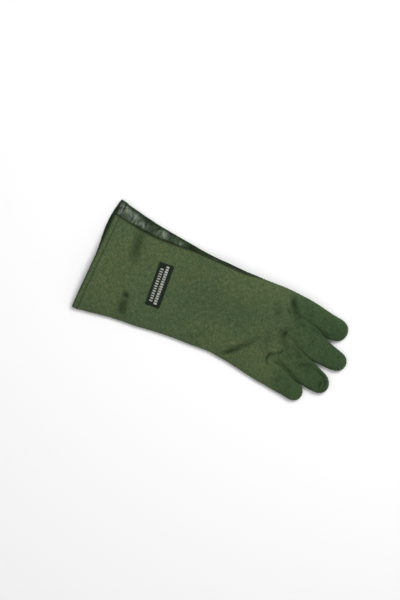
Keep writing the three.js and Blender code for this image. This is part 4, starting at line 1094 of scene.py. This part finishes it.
sideB = np.concatenate([thumbIds[:, fine.thumbColumns], [tipId]])
thumbSeam = np.concatenate([sideA, sideB[:-1][::-1]])
seamLine = evenPath(thumbFlat[thumbSeam], seamStep)
away, nearest = nearestOn(pointTree(seamLine), thumbFlat)
placeOn = pathLengths(seamLine)[nearest]
isFront = np.zeros(len(thumbFlat))
isFront[np.unique(thumbCorners[thumbOwner == frontSide])] = 1
frontShare = isFront * (1 - bell(away, 0, seam.clear))
thumbRidge = ridgesAt(thumbFlat, relief.ridgeStretch, 1 / relief.ridgeLength, 5.0)
fromRoot = np.append((thumbPoints[:, :, 0] - thumbPoints[0, :, 0]).reshape(-1), form.thumbLength)
thumbMove = -seat.crease * frontShare * (1 - easeStep(0.0, 0.35, thumbRidge))
thumbMove += seat.wave * noiseAt(thumbFlat, 1 / seat.waveLength, 2, 6.0)
thumbMove *= easeStep(0, seat.calm, fromRoot)
thumbMove += seat.allowance * bell(away, seam.allowanceAt, seam.allowanceWidth)
thumbMove -= seat.groove * bell(away, 0, seam.grooveWidth)
thumbMove += seat.pucker * bell(away, 0, seam.puckerWidth) * np.sin(placeOn * 2 * np.pi / seam.puckerLength)
thumbShaped = thumbFlat + thumbNormals * thumbMove[:, None]
thumbShaped[:, 2] = np.maximum(thumbShaped[:, 2], relief.floorGap)
thumbNormals = surfaceNormals(thumbShaped, thumbCorners)
# the crease mark is painted shade in the wrinkles of the thumb's leather
thumbMarks = {"seamNear": bell(away, 0, seat.toneWidth), "tone": np.full(len(thumbFlat), seat.tone),
              "crease": frontShare * (1 - easeStep(0.02, 0.3, thumbRidge))}
print("thumb laid out")

# The palm is open where the thumb leaves it
openingSizes = {"insetSide": 2.2, "insetTop": 1.8, "insetFloor": 1.4, "endsAt": 0.3}
inset = SimpleNamespace(**openingSizes)


def insideThumb(p):
    at = np.clip((p[:, 0] - form.thumbRoot) / form.thumbLength, 0, 1)
    half = along(thumbSections, at, "width") * form.thumbWidth / 2 - inset.insetSide
    tall = along(thumbSections, at, "height") * form.thumbHeight
    aside = (p[:, 1] - thumbMiddle(at)) / half
    top = tall * np.sqrt(np.maximum(0, 1 - np.abs(aside) ** 2.6)) - inset.insetTop
    within = (np.abs(aside) < 1) & (p[:, 2] > inset.insetFloor) & (p[:, 2] < top)
    return within & (p[:, 0] < form.thumbRoot + inset.endsAt * form.thumbLength)


faceMiddle = points[corners].mean(axis=1)
lowSide = shares[corners].mean(axis=1) < 0.2
opening = insideThumb(faceMiddle) & lowSide & (owners == palmPiece)
kept = ~opening
# On the cloth the crease mark is painted shade of creases and edges, and the tone mark is painted shade on the fingers
marks = {"seamNear": seamShade, "crease": shade, "tone": paintedFingerShade}
# Places where the strip is worn glossy and a painted highlight lies: middle and reach in mm
polishedAndHighlit = [(8, 68, 12), (22, 62, 13), (34, 57, 11), (65, 59, 10), (92, 59, 8), (140, 57, 9)]
wearAndPaintedHighlight = mix(0.62, 0.06, easeStep(0.15, 0.4, shares))
for spotX, spotY, reach in polishedAndHighlit:
    wearAndPaintedHighlight = np.maximum(wearAndPaintedHighlight, bell(x, spotX, reach) * bell(y, spotY, 0.8 * reach))
# a painted highlight along the ridge of the leather hem
wearAndPaintedHighlight = wearAndPaintedHighlight + 0.8 * bell(edgeAway, 3.6, 1.3)
# Painted shade inside the mouth, but for the underside's edge that shows
sliver = bell(2 * y / form.cuffWidth, 0.58, 0.42) * easeStep(0.5, 1.6, edgeAway)
mouthShade = (1 - easeStep(12, 40, edgeAway)) * (1 - 0.8 * sliver * (1 - easeStep(2.7, 5.2, edgeAway)))
# The leather's crease mark is painted shade in creases and wrinkles; its tone mark is scuffing and painted highlight
leatherMarks = {"seamNear": seamShade, "crease": np.maximum(shade * 0.5, leatherCreaseShade * 0.55), "tone": wearAndPaintedHighlight}
print("palm opening:", int(opening.sum()), "faces")


def bodyPiece(name, code, wallAt, materials, marks):
    mine = (owners == code) & kept
    return wallPiece(name, shaped, normals, corners[mine], uvs[mine], corners[kept], wallAt, marks, materials,
                     innerShade=mouthShade)


backPanel = bodyPiece("backPanel", backPiece, hemmedWall(form.fabricWall), [fabric, fabricInside], marks)
palmPanel = bodyPiece("palmPanel", palmPiece, hemmedWall(form.leatherWall), [leather, suede, fabric], leatherMarks)
finishPiece(backPanel, "fabric", "back_panel")
finishPiece(palmPanel, "leather", "palm_panel")
for code, node in enumerate(gussetNodes, start=firstGusset):
    first, second = node.split("_")[1:]
    piece = bodyPiece(f"gusset{first.capitalize()}{second.capitalize()}", code, hemmedWall(form.fabricWall),
                      [fabric, fabricInside], marks)
    finishPiece(piece, "fabric", node)


def thumbPiece(name, code, wall, materials):
    mine = thumbOwner == code
    return wallPiece(name, thumbShaped, thumbNormals, thumbCorners[mine], thumbUvs[mine], thumbCorners,
                     lambda p: np.full(len(p), wall), thumbMarks, materials)


finishPiece(thumbPiece("thumbFront", frontSide, form.leatherWall, [leather, suede]), "leather", "thumb_front")
finishPiece(thumbPiece("thumbBack", backSide, form.fabricWall, [fabric, fabricInside]), "fabric", "thumb_back")
print("panels sewn")

# Label: a woven patch with turned edges, sewn down on the cuff's back
labelForm = {"length": 58.0, "width": 19.5, "wall": 0.8, "fromCuff": 91.0, "aside": -0.8, "turn": 7.2, "clear": 0.25,
             "across": 26, "down": 72, "corner": 1.2, "border": 1.5, "groove": 0.16, "ripple": 0.1}
lab = SimpleNamespace(**labelForm)
backFaces = [tuple(c[:3]) if c[2] == c[3] else tuple(c) for c in corners[owners == backPiece].tolist()]
backTree = BVHTree.FromPolygons([tuple(v) for v in shaped], backFaces)


def backHeight(x, y):
    return backTree.ray_cast(Vector((x, y, 60)), Vector((0, 0, -1)))[0].z


def labelPlace(u, v):  # u across the width, v along the length, both from the middle
    t = math.radians(lab.turn)
    return (lab.fromCuff + u * math.cos(t) - v * math.sin(t), lab.aside + u * math.sin(t) + v * math.cos(t))


def labelTop(u, v):
    x, y = labelPlace(u, v)
    z = np.mean([backHeight(x + dx, y + dy) for dx, dy in ((0, 0), (1.5, 0), (-1.5, 0), (0, 1.5), (0, -1.5))])
    edge = min(lab.width / 2 - abs(u), lab.length / 2 - abs(v))
    rise = lab.wall * mix(0.72, 1, math.sqrt(max(0, min(1, edge / 0.9)))) - lab.groove * bell(edge, lab.border, 0.5)
    ripple = lab.ripple * math.sin(v * 0.55) * math.exp(-edge / 3)
    return (x, y, z + lab.clear + rise + ripple)


grid = []
for i in range(lab.down + 1):
    row = []
    for j in range(lab.across + 1):
        u, v = (j / lab.across - 0.5) * lab.width, (0.5 - i / lab.down) * lab.length
        cu, cv = lab.width / 2 - abs(u), lab.length / 2 - abs(v)
        if cu < lab.corner and cv < lab.corner:  # rounded corners
            du, dv = lab.corner - cu, lab.corner - cv
            pull = max(0, math.hypot(du, dv) - lab.corner)
            u -= math.copysign(pull * du / math.hypot(du, dv), u)
            v -= math.copysign(pull * dv / math.hypot(du, dv), v)
        row.append(labelTop(u, v))
    grid.append(row)
grid = np.array(grid)
labelIds = np.arange(grid[..., 0].size).reshape(grid.shape[:2])
labelCorners = cornersOf(labelIds)[:, ::-1]
uGrid, vGrid = np.meshgrid(np.linspace(0, lab.width, lab.across + 1), np.linspace(0, lab.length, lab.down + 1))
labelUvs = np.stack([cornersOf(uGrid)[:, ::-1], cornersOf(vGrid)[:, ::-1]], axis=-1)
labelFlat = grid.reshape(-1, 3)
labelNormals = surfaceNormals(labelFlat, labelCorners)
labelMarks = {key: np.zeros(len(labelFlat)) for key in ("seamNear", "crease", "tone")}
labelPatch = wallPiece("labelPatch", labelFlat, labelNormals, labelCorners, labelUvs, labelCorners,
                       lambda p: np.full(len(p), lab.wall - 0.05), labelMarks, [labelCloth, labelCloth],
                       roundEdge=0.3)
finishPiece(labelPatch, "label", "label")
print("label made")


# Stitches: one Geometry Nodes tree lays short rounded threads along lines
beadSegments, beadRings = 8, 5


def stitchTree():
    tree = bpy.data.node_groups.new("stitchRow", "GeometryNodeTree")
    tree.interface.new_socket(name="Geometry", in_out="INPUT", socket_type="NodeSocketGeometry")
    for label, default in (("Pitch", 0.003), ("Thread length", 0.002), ("Thread width", 0.0004), ("Slant", 0.0),
                           ("Uneven", 0.1)):
        socket = tree.interface.new_socket(name=label, in_out="INPUT", socket_type="NodeSocketFloat")
        socket.default_value = default
    tree.interface.new_socket(name="Thread", in_out="INPUT", socket_type="NodeSocketMaterial")
    tree.interface.new_socket(name="Geometry", in_out="OUTPUT", socket_type="NodeSocketGeometry")
    gin = tree.nodes.new("NodeGroupInput").outputs
    gout = tree.nodes.new("NodeGroupOutput").inputs
    curve = addNode(tree, "GeometryNodeMeshToCurve", links={"Mesh": gin["Geometry"]})
    even = addNode(tree, "GeometryNodeResampleCurve", links={"Curve": curve.outputs[0], "Length": gin["Pitch"]},
                   mode="LENGTH")
    facing = addNode(tree, "GeometryNodeInputNamedAttribute", {"Name": "facing"}, data_type="FLOAT_VECTOR")
    tangent = tree.nodes.new("GeometryNodeInputTangent")
    turn = addNode(tree, "FunctionNodeAxesToRotation", primary_axis="Z", secondary_axis="X",
                   links={"Primary Axis": facing.outputs["Attribute"], "Secondary Axis": tangent.outputs[0]})
    jitter = addNode(tree, "FunctionNodeRandomValue", {2: -1.0, 3: 1.0, "Seed": 7}, data_type="FLOAT")
    uneven = addNode(tree, "ShaderNodeMath", operation="MULTIPLY", links={0: jitter.outputs[1], 1: gin["Uneven"]})
    angle = addNode(tree, "ShaderNodeMath", operation="ADD", links={0: gin["Slant"], 1: uneven.outputs[0]})
    slanted = addNode(tree, "FunctionNodeAxisAngleToRotation", {"Axis": (0, 0, 1)}, {"Angle": angle.outputs[0]})
    turned = addNode(tree, "FunctionNodeRotateRotation", rotation_space="LOCAL",
                     links={"Rotation": turn.outputs[0], "Rotate By": slanted.outputs[0]})
    bead = addNode(tree, "GeometryNodeMeshUVSphere", {"Segments": beadSegments, "Rings": beadRings, "Radius": 0.5})
    soft = addNode(tree, "GeometryNodeSetShadeSmooth", links={"Geometry": bead.outputs[0]})
    size = addNode(tree, "ShaderNodeCombineXYZ", links={"X": gin["Thread length"], "Y": gin["Thread width"],
                                                       "Z": gin["Thread width"]})
    threads = addNode(tree, "GeometryNodeInstanceOnPoints", links={
        "Points": even.outputs[0], "Instance": soft.outputs[0], "Rotation": turned.outputs[0],
        "Scale": size.outputs[0]})
    real = addNode(tree, "GeometryNodeRealizeInstances", links={"Geometry": threads.outputs[0]})
    dyed = addNode(tree, "GeometryNodeSetMaterial", links={"Geometry": real.outputs[0], "Material": gin["Thread"]})
    tree.links.new(dyed.outputs[0], gout["Geometry"])
    return tree


stitchRow = stitchTree()
stitchPieces = []


def stitchPiece(name, runs, settings, thread, slotName):  # runs are lists of (points, facings) in mm
    made = []
    for slant in settings["slants"]:
        verts, edges, facings = [], [], []
        for line, facing in runs:
            start = len(verts)
            verts.extend(tuple(v) for v in toRow(line + facing * settings["lift"]))
            facings.extend(tuple(f) for f in facing)
            edges.extend((start + i, start + i + 1) for i in range(len(line) - 1))
        mesh = bpy.data.meshes.new(name)
        mesh.from_pydata(verts, edges, [])
        attribute = mesh.attributes.new("facing", "FLOAT_VECTOR", "POINT")
        attribute.data.foreach_set("vector", np.array(facings, np.float32).ravel())
        holder = bpy.data.objects.new(name + "Line", mesh)
        bpy.context.scene.collection.objects.link(holder)
        modifier = holder.modifiers.new("stitches", "NODES")
        modifier.node_group = stitchRow
        wanted = {"Pitch": settings["pitch"] / 1000, "Thread length": settings["length"] / 1000,
                  "Thread width": settings["width"] / 1000, "Slant": slant, "Uneven": settings["uneven"],
                  "Thread": thread}
        for item in stitchRow.interface.items_tree:
            if item.in_out == "INPUT" and item.name in wanted:
                modifier[item.identifier] = wanted[item.name]
        graph = bpy.context.evaluated_depsgraph_get()
        made.append(bpy.data.meshes.new_from_object(holder.evaluated_get(graph)))
        holder.modifiers.clear()
        bpy.data.objects.remove(holder)
    verts, faces = [], []
    for mesh in made:
        start = len(verts)
        # None dips into the floor
        verts.extend((v.co.x, v.co.y, max(v.co.z, relief.floorGap / 1000)) for v in mesh.vertices)
        faces.extend(tuple(v + start for v in p.vertices) for p in mesh.polygons)
    stitchPieces.append(finishPiece(makeObject(name, verts, faces, [thread]), slotName))


def seamRun(ids, surface, facings):  # a line of points along a seam, evened out, with the way each faces
    line = evenPath(np.concatenate([surface[ids], facings[ids]], axis=1), 2 * seamStep)
    for _ in range(2):
        line[1:-1] = (line[:-2] + 2 * line[1:-1] + line[2:]) / 4
    return line[:, :3], unit(line[:, 3:])


def flatRun(line):
    return np.array(line), np.tile([0.0, 0.0, 1.0], (len(line), 1))


stripSettings = {"pitch": 3.0, "length": 3.4, "width": 0.8, "slants": (1.3, -1.0), "uneven": 0.14, "lift": 0.42}
overSettings = {"pitch": 2.1, "length": 1.7, "width": 0.36, "slants": (1.1,), "uneven": 0.12, "lift": 0.12}
hemSettings = {"pitch": 4.4, "length": 3.1, "width": 1.2, "slants": (0.0,), "uneven": 0.1, "lift": 0.16}
patchSettings = {"pitch": 1.5, "length": 1.25, "width": 0.34, "slants": (0.3,), "uneven": 0.1, "lift": 0.05}
barSettings = {"pitch": 0.42, "length": 5.2, "width": 0.6, "slants": (math.pi / 2,), "uneven": 0.015, "lift": 0.02}

stitchPiece("stripStitches", [seamRun(seamLines["strip"], shaped, normals)], stripSettings, brownThread, "leather")
sides = [seamRun(seamLines["outer"], shaped, normals)]
sides += [seamRun(ids, shaped, normals) for key, ids in seamLines.items() if key.startswith("tip")]
stitchPiece("sideStitches", sides, overSettings, oliveThread, "fabric")
between = [seamRun(ids, shaped, normals) for key, ids in seamLines.items() if key.startswith(("upper", "lower"))]
stitchPiece("gussetStitches", between, overSettings, oliveThread, "fabric")
hemIds = wrapped[int(np.argmin(np.abs(stations - hem.seamAt)))]
stitchPiece("hemStitches", [seamRun(hemIds, shaped, normals)], hemSettings, brownThread, "fabric")
thumbRuns = [thumbSeam, thumbIds[2, fine.thumbColumns + 3 : -3]]
stitchPiece("thumbStitches", [seamRun(ids, thumbShaped, thumbNormals) for ids in thumbRuns], overSettings, oliveThread,
            "leather")
border = []
inU, inV = lab.width / 2 - lab.border, lab.length / 2 - lab.border
borderCorners = [(-inU, -inV), (inU, -inV), (inU, inV), (-inU, inV), (-inU, -inV)]
for start, end in zip(borderCorners, borderCorners[1:]):
    n = int(math.dist(start, end) / 0.6)
    border += [labelTop(mix(start[0], end[0], i / n), mix(start[1], end[1], i / n)) for i in range(n)]
stitchPiece("labelStitches", [flatRun(border + border[:1])], patchSettings, blackThread, "label")
# Two rows of plain woven bars run along the label
barRows = [{"across": -4.0, "reach": 23.0, "bar": 1.3, "gap": 2.0},
           {"across": 2.6, "reach": 25.2, "bar": 1.9, "gap": 1.4}]
bars = []
for row in barRows:
    start = -row["reach"]
    while start < row["reach"]:
        end = start + row["bar"]
        bars.append(flatRun([labelTop(row["across"], mix(start, end, i / 4)) for i in range(5)]))
        start = end + row["gap"]
stitchPiece("labelBars", bars, barSettings, greyThread, "label")
beadVertices = beadSegments * (beadRings - 1) + 2
print("stitches laid:", sum(len(piece.data.vertices) for piece in stitchPieces) // beadVertices)

# Floor, light and camera
floorMesh = bpy.data.meshes.new("floor")
floorMesh.from_pydata([(-3, -3, 0), (3, -3, 0), (3, 3, 0), (-3, 3, 0)], [], [(0, 1, 2, 3)])
floor = bpy.data.objects.new("floor", floorMesh)
bpy.context.scene.collection.objects.link(floor)
floorPaint, _, floorShader = newMaterial("palePaper", colorOf(0.9, 0.9, 0.9), Roughness=0.9)
floorShader.inputs["Base Color"].default_value = floorPaint.diffuse_color
floorMesh.materials.append(floorPaint)

lightSet = {"sky": 0.4, "keyPower": 24.0, "keySize": 0.8, "keyFrom": (0.3, 0.95, 1.5),
            "fillPower": 9.0, "fillSize": 1.6, "fillFrom": (-0.5, -0.6, 1.9)}
world = bpy.data.worlds.new("studio")
bpy.context.scene.world = world
world.use_nodes = True
world.node_tree.nodes["Background"].inputs["Color"].default_value = colorOf(1.0, 1.0, 1.0)
world.node_tree.nodes["Background"].inputs["Strength"].default_value = lightSet["sky"]


def softLight(name, power, size, where):
    data = bpy.data.lights.new(name, "AREA")
    data.energy, data.size = power, size
    lamp = bpy.data.objects.new(name, data)
    lamp.location = where
    lamp.rotation_euler = (-Vector(where)).to_track_quat("-Z", "Y").to_euler()
    bpy.context.scene.collection.objects.link(lamp)


softLight("keyLight", lightSet["keyPower"], lightSet["keySize"], lightSet["keyFrom"])
softLight("fillLight", lightSet["fillPower"], lightSet["fillSize"], lightSet["fillFrom"])

cameraSet = {"turn": 27.0, "middle": (146.5, 6.0), "field": 0.78, "distance": 2.2}
turn = math.radians(cameraSet["turn"])
cameraData = bpy.data.cameras.new("camera")
camera = bpy.data.objects.new("camera", cameraData)
middle = toRow([[*cameraSet["middle"], 8.0]])[0]
camera.location = (middle[0], middle[1], middle[2] + cameraSet["distance"])
camera.rotation_euler = (0.0, 0.0, turn)
cameraData.sensor_width = 36.0
cameraData.lens = 36.0 * cameraSet["distance"] / cameraSet["field"]
cameraData.clip_start, cameraData.clip_end = 0.05, 50.0
bpy.context.scene.collection.objects.link(camera)
bpy.context.scene.camera = camera
bpy.context.scene.view_settings.view_transform = "Standard"

print("scene ready")
